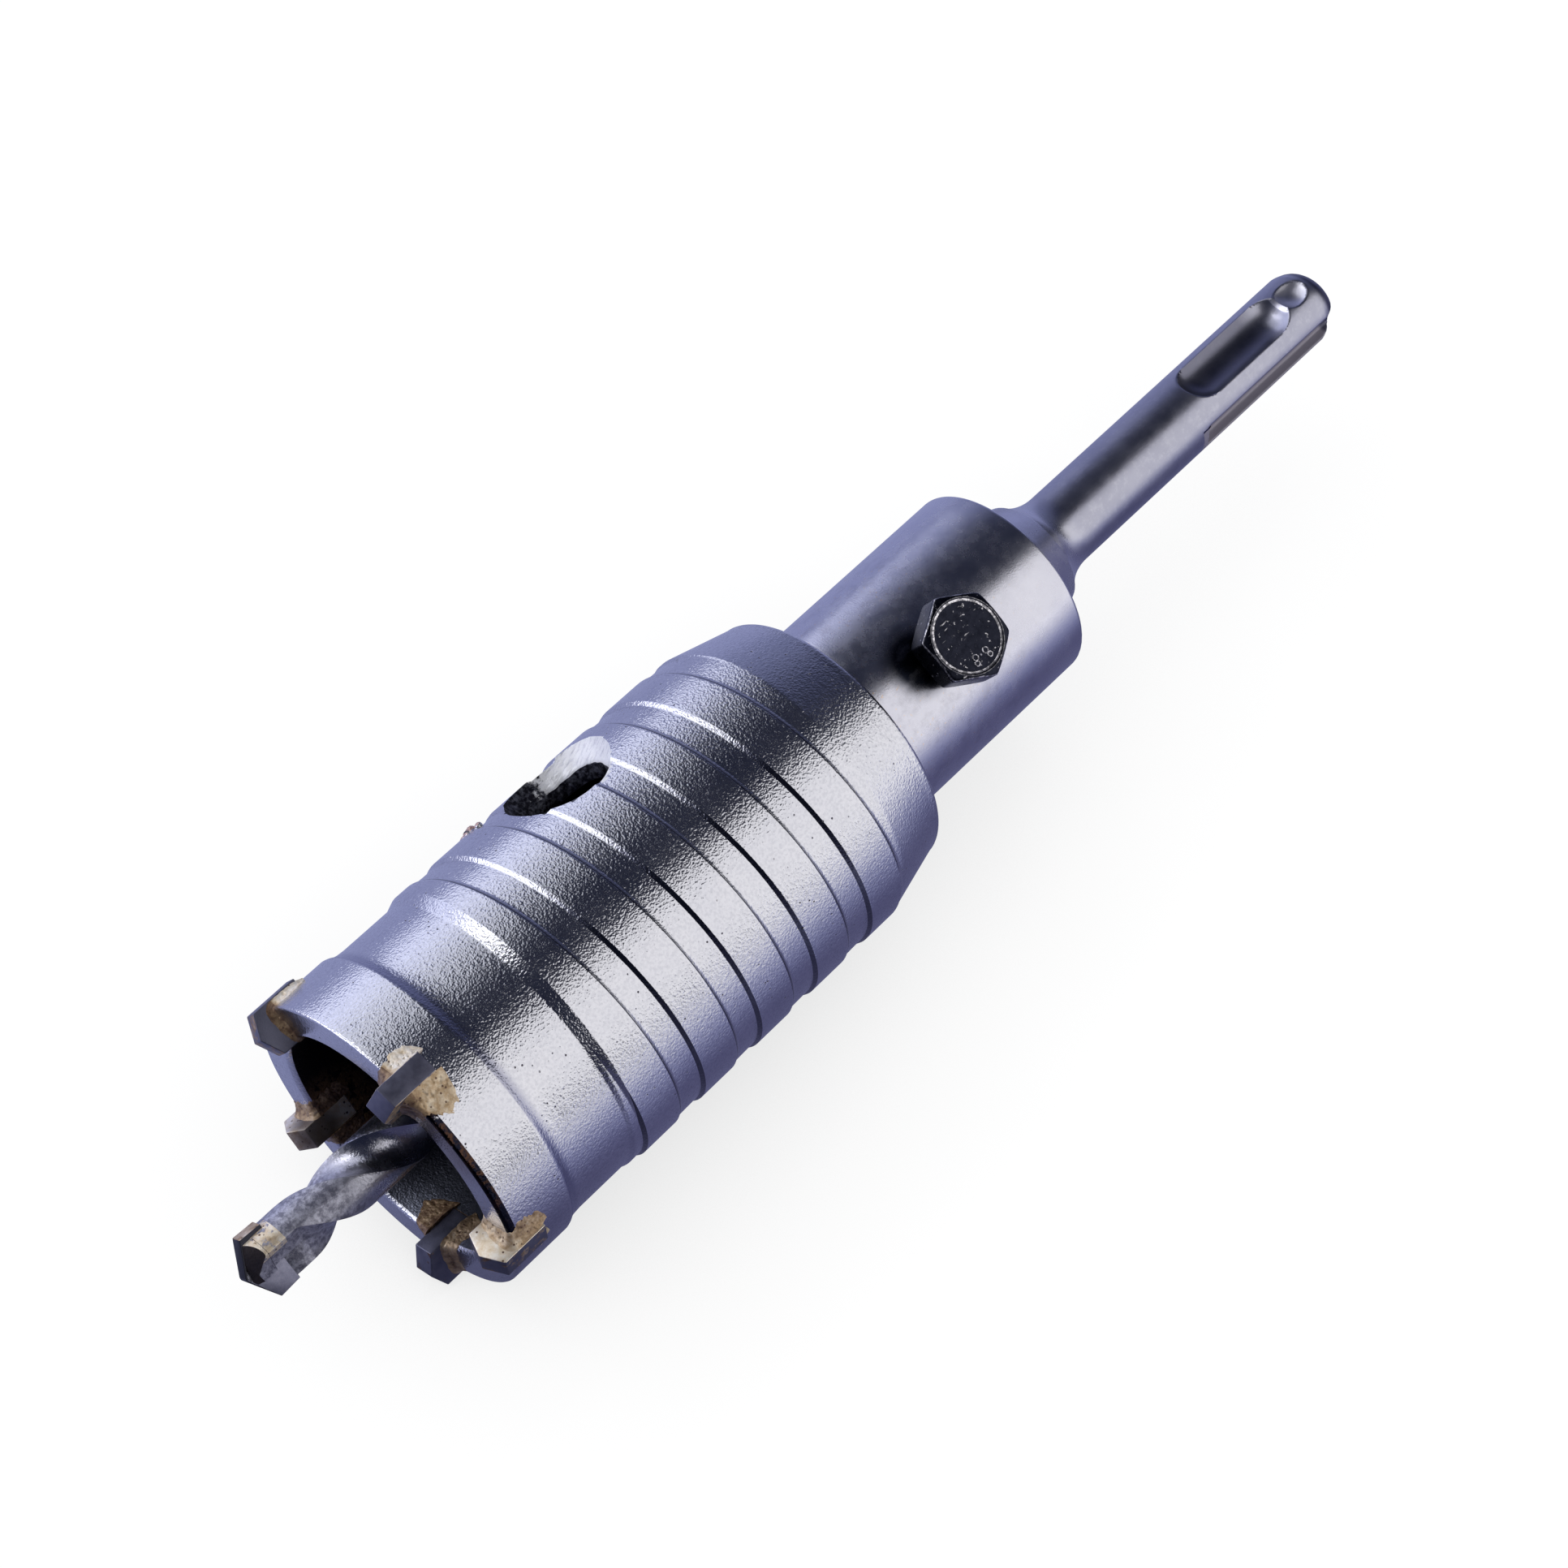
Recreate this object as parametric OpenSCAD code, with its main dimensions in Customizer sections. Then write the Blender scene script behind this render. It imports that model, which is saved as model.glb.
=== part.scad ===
// Masonry core drill bit: hollow cup with brazed teeth, screwed adaptor with a
// slotted driving shank, pilot drill and the bolt that clamps it.
// The tool axis is X. X = 0 is the rim of the cup, the shank points to +X and +Z is up.
// Angles turn about +X, starting at +Z.

/* [Cup] */
// Length of the cup from rim to end face
cup_l = 72.3; // [60:0.1:90]
// Outer diameter of the collar behind the rim
collar_d = 39.8; // [39.6:0.1:42]
// Length of the collar
collar_l = 8.3; // [7:0.1:12]
// Length of the slope behind the collar
collar_slope_l = 2.3; // [1:0.1:4]
// How far the plain neck lies below the collar
relief_drop = 0.65; // [0.5:0.05:1.5]
// Where the plain neck ends
relief_end = 18.2; // [16:0.1:22]
// Length of the shoulder in front of the spiral
shoulder_l = 1.5; // [0.5:0.1:2.5]
// Thickness of the cup's wall at the collar
wall_t = 4.4; // [3.6:0.1:6]
// Thickness of the cup's back wall
floor_t = 12; // [8:0.1:16]
// Small chamfer on the rim's outer edge
rim_chamfer = 0.4; // [0.1:0.05:0.8]
// Bevel on the rim's inner edge
rim_bevel = 0.5; // [0.1:0.05:1]
// Length of the tapered tail
tail_l = 9.5; // [6:0.1:12]
// Slope of the tail in degrees
tail_angle = 14; // [6:0.5:20]
// Small step at the start of the tail
tail_step = 0.15; // [0.05:0.05:0.4]
// Radius of the edge at the end face
tail_round = 1; // [0.4:0.1:2]

/* [Spiral] */
// How far the crests of the spiral lie below the collar
crest_drop = 0.05; // [0.02:0.01:0.12]
// Depth of the spiral groove
groove_depth = 0.37; // [0.2:0.01:0.8]
// How much shallower the groove is at its gentle flank
groove_rise = 0.07; // [0:0.01:0.12]
// Width of the groove at the crest
groove_w = 4.2; // [3:0.1:6]
// Advance of the spiral in one turn
lead = 9.31; // [7:0.01:14]
// Place of the first steep flank along X, at angle 0
groove_start = 17.99; // [14:0.01:20]
// Length of the steep flank
flank_l = 0.45; // [0.2:0.05:1]
// Length of the gentle flank
back_flank_l = 0.6; // [0.3:0.05:1.2]
// Steps in one turn of the spiral
spiral_steps = 60; // [36:12:96]

/* [Side hole] */
// Diameter of the hole through the cup wall
side_hole_d = 14; // [6:0.5:16]
// Distance of the hole from the rim
side_hole_x = 40.7; // [30:0.1:48]
// Angle of the hole
side_hole_angle = -39.4; // [-60:0.1:-30]

/* [Teeth] */
// Number of teeth
tooth_count = 5; // [3:1:6]
// Angle of the first tooth
tooth_angle = 14.9; // [0:0.1:25]
// Thickness of a tooth along the cut
tooth_t = 2.8; // [2:0.1:4]
// How far a tooth stands out of the collar
tooth_proud = 0.85; // [0.4:0.05:1.5]
// How far a tooth stands into the bore
tooth_inner = 0.3; // [0:0.05:1]
// Depth of the tooth seat behind the rim
seat_l = 4; // [3:0.1:6]
// How far the point of a tooth stands ahead of the rim
tooth_ahead = 3.3; // [2:0.1:5]
// Drop of the tooth's outer corner behind its point
outer_drop = 1.3; // [0.5:0.1:1.6]
// Drop of the tooth's inner corner behind its point
inner_drop = 1.2; // [0.5:0.1:1.6]
// Thickness of the braze layer
braze_t = 0.15; // [0.05:0.01:0.3]
// Reach of the braze fillet along the collar
braze_reach = 3; // [1.5:0.1:3.6]
// Height of the braze fillet on the tooth
braze_h = 0.6; // [0.3:0.05:0.8]
// Height of the braze fillet in the bore
bore_bead_h = 0.3; // [0.2:0.05:0.4]

/* [Adaptor] */
// Diameter of the adaptor body
adaptor_d = 26.3; // [24:0.1:30]
// Length of the adaptor body behind the cup
adaptor_l = 31.2; // [24:0.1:36]
// Edge radius of the adaptor body
adaptor_round = 0.6; // [0.2:0.1:1.5]
// Chamfer of the adaptor body against the cup
adaptor_chamfer = 0.3; // [0.1:0.1:0.6]
// Diameter of the screwed spigot in the cup
spigot_d = 22; // [18:0.5:24]
// Radial room in the screwed joint
spigot_clear = 0.1; // [0.05:0.01:0.2]
// Length of the spigot
spigot_l = 11.5; // [6:0.1:11.8]
// Chamfer at the spigot's front, outside and in its bore
spigot_chamfer = 1; // [0.4:0.1:1.5]

/* [Shank] */
// Shank diameter
shank_d = 10; // [9.5:0.1:11]
// Length of the shank behind the adaptor body
shank_l = 61.5; // [60:0.1:70]
// Diameter of the cone where the shank leaves the body
neck_d = 19; // [16:0.1:22]
// Length of the neck
neck_l = 11; // [9:0.1:13]
// Radius of the hollow between the neck and the shank
neck_r = 8; // [6:0.1:9]
// Length of the chamfer at the shank's end
end_l = 2.7; // [1:0.1:3.5]
// Diameter of the end face
end_d = 8; // [6:0.1:9]
// Angle of the first locking groove
lock_angle = 1.1; // [-20:0.1:20]
// Length of a locking groove
lock_l = 19.6; // [16:0.1:21]
// Distance from a locking groove to the shank's end
lock_end = 6.7; // [5:0.1:8]
// Radius of a locking groove
lock_r = 4.2; // [3.5:0.1:5]
// Distance from the axis to the floor of a locking groove
lock_floor = 2.9; // [2.6:0.05:3.6]
// Distance from the middle of the run-out dimple to the shank's end
dimple_end = 4.9; // [4.5:0.1:5.4]
// Depth of the run-out dimple behind each locking groove
dimple_depth = 0.7; // [0.3:0.05:0.9]
// Width of a driving groove
drive_w = 3.5; // [2.6:0.1:4]
// Length of a driving groove
drive_l = 28; // [24:0.1:30]
// Length of the slope at the start of a driving groove
drive_ramp_l = 2.5; // [1:0.1:4]
// Distance from the axis to the floor of a driving groove
drive_floor = 3.2; // [2.9:0.05:3.8]

/* [Pilot drill] */
// Diameter of the fluted body
pilot_d = 7.1; // [6.4:0.1:7.5]
// Diameter of the plain end in the adaptor
pilot_shank_d = 8; // [7.5:0.1:9]
// Radial room of the plain end in its bore
pilot_clear = 0.08; // [0.05:0.01:0.15]
// Where the steel of the drill starts
pilot_front = -18.3; // [-24:0.1:-16]
// Where the twist starts
twist_start = -14; // [-15.5:0.1:-10]
// Where the flutes end
flute_end = 40; // [20:0.5:50]
// Length over which the flutes run out
flute_out_l = 4; // [2:0.5:8]
// Where the drill ends inside the adaptor
pilot_end = 92; // [90:0.5:94]
// Chamfer at the drill's end
pilot_chamfer = 0.8; // [0.3:0.1:1.5]
// Advance of a flute in one turn
flute_lead = 33; // [26:0.5:45]
// Angle of the lands ahead of the twist
land_angle = -23.4; // [-60:0.1:60]
// Web between the flutes
web_t = 4.2; // [3.4:0.1:4.8]
// Radius of a flute
flute_r = 7.9; // [6.5:0.1:10]

/* [Pilot tip] */
// Cutting diameter of the tip
tip_d = 8; // [7.6:0.1:9]
// Thickness of the tip plate
tip_t = 2; // [1.4:0.1:2.4]
// Length of the tip's straight sides
tip_side_l = 2.8; // [2:0.1:4]
// Height of the point
tip_point_l = 2; // [1.2:0.1:2.6]
// How far the straight sides stand ahead of the steel
tip_ahead = 1; // [0.5:0.1:1.5]
// Angle of the plate
tip_angle = -42.4; // [-60:0.1:-30]
// Clearance angle behind the cutting lips
lip_clearance = 25; // [10:1:35]
// Width of the braze bead beside the plate
bead_w = 1.1; // [0.6:0.1:1.3]

/* [Clamp bolt] */
// Thread diameter of the bolt
bolt_d = 6; // [5:1:6]
// Radial room of the bolt in its hole
bolt_clear = 0.08; // [0.05:0.01:0.15]
// Width across the flats of the head
head_af = 10; // [9:0.5:11]
// Height of the head
head_h = 4; // [3:0.1:5]
// Height of the chamfer on the head's corners
head_chamfer = 0.7; // [0.3:0.1:1.2]
// Gap between the head and the adaptor body
head_gap = 0.8; // [0.3:0.05:1.2]
// Distance of the bolt from the end of the cup
bolt_x = 13.6; // [11:0.1:15]
// Angle of the bolt
bolt_angle = 31.9; // [25:0.1:40]
// Depth of the flat that the bolt bears on
bolt_flat = 0.6; // [0.3:0.05:1]
// Length of that flat
bolt_flat_l = 10; // [8:0.5:12]
// Chamfer at the bolt's foot
bolt_chamfer = 0.6; // [0.3:0.1:1]

/* [Hidden] */
$fn = 96;
eps = 0.01;

collar_r = collar_d / 2;
relief_r = collar_r - relief_drop;
crest_r = collar_r - crest_drop;
bore_r = collar_r - wall_t;
tail_start = cup_l - tail_l;
// Point of the tail where its edge radius begins, and the centre of that radius
round_x = cup_l - tail_round;
round_r = crest_r - tail_step - (round_x + tail_round * sin(tail_angle) - tail_start) * tan(tail_angle)
    - tail_round * cos(tail_angle);

tooth_in = bore_r - tooth_inner;
tooth_out = collar_r + tooth_proud;
tooth_mid = tooth_in + (tooth_out - tooth_in) / 2;
tooth_step = 360 / tooth_count;

adaptor_r = adaptor_d / 2;
adaptor_end = cup_l + adaptor_l;
shank_r = shank_d / 2;
shank_end = adaptor_end + shank_l;
neck_end = adaptor_end + neck_l;
spigot_r = spigot_d / 2 - spigot_clear;
spigot_front = cup_l - spigot_l;
pilot_bore_r = pilot_shank_d / 2 + pilot_clear;
lock_c = lock_floor + lock_r;
lock_half = sqrt(lock_r * lock_r - (lock_c - shank_r) * (lock_c - shank_r));

pilot_r = pilot_d / 2;
tip_front = pilot_front - tip_ahead - tip_point_l;
tip_back = pilot_front - tip_ahead + tip_side_l;

bolt_at = cup_l + bolt_x;
bolt_foot = pilot_shank_d / 2 - bolt_flat;
head_foot = adaptor_r + head_gap;

// Turns a shape made about Z so that it lies along X
module lay() rotate([0, 90, 0]) children();

// Places a shape at an angle about the tool axis, with its +Z pointing outward
module at(a) rotate([a, 0, 0]) children();

// Revolves an outline of [radius, x] points about the tool axis
module turn(points) lay() rotate_extrude() polygon(points);

// Points of an arc in a revolved outline
function arc(r, x, rad, from, to, n) =
    [for (i = [0:n]) let (a = from + (to - from) * i / n) [r + rad * cos(a), x + rad * sin(a)]];

// One ring of the spiral groove's cutter: outline points of [x, radius] turned to angle a
function ring(outline, x, a) =
    [for (p = outline) [x + p[0], -p[1] * sin(a), p[1] * cos(a)]];

// Solid swept along a spiral from angle a0 to a1
module spiral(outline, x0, pitch, a0, a1, steps) {
    n = len(outline);
    m = ceil((a1 - a0) * steps / 360);
    points = [for (i = [0:m]) let (a = a0 + i * 360 / steps)
        each ring(outline, x0 + pitch * a / 360, a)];
    sides = [for (i = [0:m - 1]) for (j = [0:n - 1])
        let (p = i * n + j, q = i * n + (j + 1) % n) each [[p, q, q + n], [p, q + n, p + n]]];
    ends = [[for (j = [n - 1:-1:0]) j], [for (j = [0:n - 1]) m * n + j]];
    polyhedron(points, concat(sides, ends));
}

module groove_cutter() {
    over = 0.35;
    slope_back = back_flank_l / (groove_depth - groove_rise);
    slope_front = flank_l / groove_depth;
    outline = [
        [-groove_w - over * slope_back, crest_r + over],
        [over * slope_front, crest_r + over],
        [-flank_l, crest_r - groove_depth],
        [-groove_w + back_flank_l, crest_r - groove_depth + groove_rise]];
    turns = (tail_start + groove_w + 2 - groove_start) / lead;
    spiral(outline, groove_start, lead, -180, 360 * turns, spiral_steps);
}

module cup_blank() turn(concat(
    [[bore_r + rim_bevel, 0], [collar_r - rim_chamfer, 0], [collar_r, rim_chamfer],
     [collar_r, collar_l], [relief_r, collar_l + collar_slope_l], [relief_r, relief_end],
     [crest_r, relief_end + shoulder_l], [crest_r, tail_start - tail_step],
     [crest_r - tail_step, tail_start]],
    arc(round_r, round_x, tail_round, tail_angle, 90, 6),
    [[spigot_d / 2, cup_l], [spigot_d / 2, cup_l - floor_t], [bore_r, cup_l - floor_t],
     [bore_r, rim_bevel]]));

// Seat of a tooth in the cup wall, open to the rim, the bore and the collar
module tooth_seat() translate([-1, -tooth_t / 2 - braze_t, bore_r - 2])
    cube([1 + seat_l + braze_t, tooth_t + 2 * braze_t, tooth_out - bore_r + 4]);

module tooth_block() rotate([90, 0, 0]) linear_extrude(tooth_t, center = true) polygon([
    [seat_l, tooth_in], [seat_l, tooth_out], [-tooth_ahead + outer_drop, tooth_out],
    [-tooth_ahead, tooth_mid], [-tooth_ahead + inner_drop, tooth_in]]);

module core_body() color("slategray") difference() {
    cup_blank();
    groove_cutter();
    for (k = [0:tooth_count - 1]) at(tooth_angle + k * tooth_step) tooth_seat();
    at(side_hole_angle) translate([side_hole_x, 0, bore_r - 4])
        cylinder(d = side_hole_d, h = crest_r - bore_r + 8);
}

module carbide_tooth(k) color("dimgray") at(tooth_angle + k * tooth_step) tooth_block();

// Shape extruded along X from the rim to x1, with its outline given as [y, z] points
module along(x1, points) rotate([90, 0, 90]) linear_extrude(x1) polygon(points);

// Braze bead: a hollow fillet from the tooth's flank to the wall, which narrows towards its back end.
// It stands out of the wall at radius r, or into the bore where its height is negative.
module braze_bead(r, height, reach, x1) {
    foot = tooth_t / 2 - 0.1;
    far = tooth_t / 2 + reach;
    out = sign(height);
    sink = 0.8 * out;
    lap = 0.1 * out;
    wall = sqrt(r * r - far * far);
    intersection() {
        along(x1, [[foot, r - sink], [foot, r + height], [foot + reach * 0.1, r + height * 0.9],
            [foot + reach * 0.4, r + height * 0.3], [far, wall - lap], [far, wall - sink]]);
        translate([0, 0, r - 2]) linear_extrude(4)
            polygon([[0, 0], [0, far], [x1 * 0.55, far - reach * 0.2], [x1, tooth_t / 2 + 0.3], [x1, 0]]);
    }
}

// Part of the cup wall from the rim back to the end of the collar, between two radii
module wall_ring(r0, r1, x0, x1) turn([[r0, x0], [r1, x0], [r1, x1], [r0, x1]]);

// The layer in the seat stands a little out of the wall, where the beads on both sides meet it
module tooth_braze(k) color("goldenrod") at(tooth_angle + k * tooth_step) difference() {
    union() {
        intersection() {
            tooth_seat();
            wall_ring(bore_r - bore_bead_h / 2, collar_r + braze_h / 2, 0, collar_l);
        }
        difference() {
            for (side = [0, 1]) mirror([0, side, 0]) {
                braze_bead(collar_r, braze_h, braze_reach, seat_l + 0.9);
                braze_bead(bore_r, -bore_bead_h, braze_reach * 0.7, seat_l + 0.5);
            }
            wall_ring(bore_r, collar_r, -1, collar_l + 1);
        }
    }
    tooth_block();
}

// Locking groove with ball-shaped ends
module lock_groove() translate([shank_end - lock_end - lock_l + lock_half, 0, lock_c]) {
    lay() cylinder(r = lock_r, h = lock_l - 2 * lock_half);
    sphere(r = lock_r);
    translate([lock_l - 2 * lock_half, 0, 0]) sphere(r = lock_r);
}

// Shallow ball-shaped dimple where the tool that cuts a locking groove runs out
module runout_dimple() translate([shank_end - dimple_end, 0, shank_r - dimple_depth + lock_r])
    sphere(r = lock_r);

// Driving groove, open at the shank's end, with a sloping start
module drive_groove() rotate([90, 0, 0]) linear_extrude(drive_w, center = true) polygon([
    [shank_end - drive_l, shank_r + 1], [shank_end - drive_l + drive_ramp_l, drive_floor],
    [shank_end + 1, drive_floor], [shank_end + 1, shank_r + 1]]);

module adaptor() color("silver") difference() {
    turn(concat(
        [[0, spigot_front], [spigot_r - spigot_chamfer, spigot_front],
         [spigot_r, spigot_front + spigot_chamfer], [spigot_r, cup_l],
         [adaptor_r - adaptor_chamfer, cup_l], [adaptor_r, cup_l + adaptor_chamfer]],
        arc(adaptor_r - adaptor_round, adaptor_end - adaptor_round, adaptor_round, 0, 90, 6),
        [[neck_d / 2, adaptor_end]],
        arc(shank_r + neck_r, neck_end, neck_r, 225, 180, 10),
        [[shank_r, shank_end - end_l], [(shank_r + end_d / 2) / 2 + 0.15, shank_end - end_l / 2 + 0.1],
         [end_d / 2, shank_end - 0.4], [end_d / 2 - 0.5, shank_end], [0, shank_end]]));
    translate([spigot_front - 1, 0, 0]) lay() cylinder(r = pilot_bore_r, h = pilot_end - spigot_front + 2);
    translate([spigot_front, 0, 0]) lay()
        cylinder(r1 = pilot_bore_r + spigot_chamfer, r2 = pilot_bore_r, h = spigot_chamfer);
    at(bolt_angle) translate([bolt_at, 0, 0]) cylinder(r = bolt_d / 2 + bolt_clear, h = adaptor_r + 1);
    for (s = [0, 180]) {
        at(lock_angle + s) lock_groove();
        at(lock_angle + s) runout_dimple();
        at(lock_angle + 90 + s) drive_groove();
    }
}

// Cross-section of the fluted body: two lands and two hollow flutes, with a land at angle 0
function flute_radius(a, c) = let (s = c * sin(a), q = flute_r * flute_r - s * s)
    q > 0 && cos(a) > 0 ? min(pilot_r, c * cos(a) - sqrt(q)) : pilot_r;
function section_radius(a) = let (c = web_t / 2 + flute_r)
    min(flute_radius(a - 90, c), flute_radius(a - 270, c));

// Angle of the lands at a place along the drill
function land_at(x) = land_angle + 360 * max(0, x - twist_start) / flute_lead;

// Fluted body swept along the axis, straight at first and then with the twist
module fluted_body() {
    turns_l = flute_end + 2 - twist_start;
    rows = ceil(turns_l * 24 / flute_lead);
    xs = concat([pilot_front], [for (i = [0:rows]) twist_start + turns_l * i / rows]);
    n = 24;
    points = [for (x = xs) for (j = [0:n - 1])
        let (a = 360 * j / n, r = section_radius(a), t = a + land_at(x))
        [x, -r * sin(t), r * cos(t)]];
    sides = [for (i = [0:len(xs) - 2]) for (j = [0:n - 1])
        let (p = i * n + j, q = i * n + (j + 1) % n) each [[p, q + n, q], [p, p + n, q + n]]];
    ends = [[for (j = [0:n - 1]) j], [for (j = [n - 1:-1:0]) (len(xs) - 1) * n + j]];
    polyhedron(points, concat(sides, ends));
}

// Slot for the tip plate and the braze beside it
module tip_slot() translate([tip_front - 1, -tip_t / 2 - braze_t, -pilot_r - 1])
    cube([tip_back + braze_t - tip_front + 1, tip_t + 2 * braze_t, pilot_d + 2]);

module pilot_drill() color("gray") difference() {
    union() {
        fluted_body();
        turn([[0, flute_end], [web_t / 2 - 0.3, flute_end],
            [pilot_shank_d / 2, flute_end + flute_out_l],
            [pilot_shank_d / 2, pilot_end - pilot_chamfer],
            [pilot_shank_d / 2 - pilot_chamfer, pilot_end], [0, pilot_end]]);
    }
    at(tip_angle) tip_slot();
    at(bolt_angle) translate([bolt_at - bolt_flat_l / 2, -pilot_shank_d / 2, bolt_foot])
        cube([bolt_flat_l, pilot_shank_d, pilot_shank_d]);
}

// Cutting lip's clearance: removes what lies ahead of a plane that falls away behind the lip
module lip_relief() translate([tip_front, tip_t / 2, 0])
    rotate([0, atan2(tip_point_l, tip_d / 2), 0])
    rotate([0, 0, -lip_clearance]) translate([-6, -7, -1]) cube([6, 8, 8]);

module plate(t) rotate([90, 0, 0]) linear_extrude(t, center = true) polygon([
    [tip_back, -tip_d / 2 + 0.15], [tip_back, tip_d / 2 - 0.15],
    [tip_front + tip_point_l, tip_d / 2], [tip_front, 0.25], [tip_front, -0.25],
    [tip_front + tip_point_l, -tip_d / 2]]);

module pilot_tip() color("darkslategray") at(tip_angle) difference() {
    plate(tip_t);
    for (s = [0, 180]) rotate([s, 0, 0]) lip_relief();
}

module tip_braze() color("goldenrod") at(tip_angle) difference() {
    union() {
        intersection() {
            tip_slot();
            translate([pilot_front, 0, 0]) lay() cylinder(r = pilot_r, h = tip_back - pilot_front + 1);
        }
        // Bead on the trailing side of each half of the plate, against the steel's front
        for (s = [0, 180]) rotate([s, 0, 0]) translate([pilot_front, -tip_t / 2, 0])
            linear_extrude(pilot_r - 0.5)
            polygon([[0, 0], [-bead_w * 0.8, 0], [0, -bead_w]]);
    }
    plate(tip_t);
}

module clamp_bolt() color("#2a2a2e") at(bolt_angle) translate([bolt_at, 0, 0]) {
    corner_d = head_af / cos(30);
    translate([0, 0, bolt_foot + bolt_chamfer])
        cylinder(d = bolt_d, h = head_foot - bolt_foot - bolt_chamfer + eps);
    translate([0, 0, bolt_foot]) cylinder(d1 = bolt_d - 2 * bolt_chamfer, d2 = bolt_d, h = bolt_chamfer);
    translate([0, 0, head_foot]) intersection() {
        cylinder(d = corner_d, h = head_h, $fn = 6);
        union() {
            cylinder(d = corner_d + 1, h = head_h - head_chamfer);
            translate([0, 0, head_h - head_chamfer - eps])
                cylinder(d1 = corner_d + 1, d2 = head_af - 0.4, h = head_chamfer + eps);
        }
    }
}

core_body();
carbide_tooth(0);  // carbide_tooth_1
carbide_tooth(1);  // carbide_tooth_2
carbide_tooth(2);  // carbide_tooth_3
carbide_tooth(3);  // carbide_tooth_4
carbide_tooth(4);  // carbide_tooth_5
tooth_braze(0);  // tooth_braze_1
tooth_braze(1);  // tooth_braze_2
tooth_braze(2);  // tooth_braze_3
tooth_braze(3);  // tooth_braze_4
tooth_braze(4);  // tooth_braze_5
adaptor();
pilot_drill();
pilot_tip();
tip_braze();
clamp_bolt();
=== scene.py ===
from contextlib import contextmanager
from math import atan2, cos, degrees, hypot, pi, radians, sin, sqrt, tan

import bmesh
import bpy
import numpy as np
from mathutils import Matrix, Vector, noise


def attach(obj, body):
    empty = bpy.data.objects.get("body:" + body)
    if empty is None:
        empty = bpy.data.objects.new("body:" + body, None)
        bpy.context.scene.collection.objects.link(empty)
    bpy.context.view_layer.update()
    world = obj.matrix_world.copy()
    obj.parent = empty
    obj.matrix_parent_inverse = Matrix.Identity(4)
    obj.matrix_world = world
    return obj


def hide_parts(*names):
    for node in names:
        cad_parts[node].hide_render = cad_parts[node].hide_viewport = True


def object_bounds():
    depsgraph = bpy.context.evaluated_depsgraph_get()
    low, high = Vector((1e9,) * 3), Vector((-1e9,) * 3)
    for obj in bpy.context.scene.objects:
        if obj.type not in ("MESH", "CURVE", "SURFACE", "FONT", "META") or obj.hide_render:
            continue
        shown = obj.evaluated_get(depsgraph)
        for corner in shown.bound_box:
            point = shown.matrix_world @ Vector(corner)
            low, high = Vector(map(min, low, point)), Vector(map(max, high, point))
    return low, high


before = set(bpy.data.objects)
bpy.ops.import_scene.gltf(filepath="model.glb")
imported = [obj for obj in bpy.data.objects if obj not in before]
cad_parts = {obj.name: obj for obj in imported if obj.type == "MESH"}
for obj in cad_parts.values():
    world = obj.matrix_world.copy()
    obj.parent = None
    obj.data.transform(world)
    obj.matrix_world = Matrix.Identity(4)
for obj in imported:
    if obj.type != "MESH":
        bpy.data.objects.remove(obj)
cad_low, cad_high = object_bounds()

# Lengths are in millimetres and angles in degrees, turning about +X from +Z, until a mesh is made.
MM = 0.001

# Cup
CUP_L = 72.3
COLLAR_R = 19.9
COLLAR_L = 8.3
RIM_ROUND = 0.4
RELIEF_X = 10.6
RELIEF_R = 19.25
SHOULDER_X0 = 18.2
SHOULDER_X1 = 19.7
CREST_R = 19.85
BORE_R = 15.5
BORE_EDGE = 0.4
FLOOR_X = 60.3
SPIGOT_BORE_R = 11.0
TAIL_X = 62.8
TAIL_STEP = 0.15
TAIL_SLOPE = tan(radians(14))
TAIL_ROUND = 1.0

# The collar's rounded back edge, as (behind the collar, below it)
COLLAR_EASE = ((0.35, 0.10), (0.75, 0.31), (1.15, 0.47), (1.7, 0.57))

# Spiral
LEAD = 9.31
GROOVE_X = 17.99
GROOVE_W = 4.2
GROOVE_DEPTH = 0.37
GROOVE_RISE = 0.07
FLANK_L = 0.45
BACK_FLANK_L = 0.6

# Side hole, whose torn wall leans inward by the two LEAN values at its straight and its worst side
HOLE_R = 7.0
HOLE_X = 40.7
HOLE_ANGLE = -39.4
TORN_DEPTH = 2.3
TORN_LEAN = (0.25, 2.0)

# Lump of braze that has run onto the cup, as (x, angle, radius)
SPATTER = ((31.4, -62, 0.95), (32.3, -60, 0.60), (30.5, -64.5, 0.55))

# Teeth
TEETH = 5
TOOTH_ANGLE = 14.9
TOOTH_T = 2.8
TOOTH_OUT = 20.75
SEAT_L = 4.0
SEAT_GAP = 0.15
SEAT_HALF = TOOTH_T / 2 + SEAT_GAP

# Braze: how far each tooth's two beads reach on the collar, how much they swell in the bore, and how
# bright they are on the collar, on the rim and in the bore, from 0, burnt, to 1, clean. The smaller
# angle's side comes first.
BRAZE_REACH = ((2.3, 4.2), (2.6, 3.0), (2.6, 3.0), (2.2, 2.8), (2.4, 0.9))
BORE_SWELL = (1.0, 1.0, 2.4, 1.8, 1.0)
BRAZE_TONES = (((0.86, 0.30, 0.2), (0.60, 0.32, 0.2)),
               ((0.45, 0.62, 0.3), (0.66, 0.75, 0.3)),
               ((0.35, 0.45, 0.45), (0.30, 0.25, 0.3)),
               ((0.40, 0.35, 0.1), (0.75, 0.45, 0.2)),
               ((0.55, 0.40, 0.2), (0.85, 0.28, 0.2)))

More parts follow.
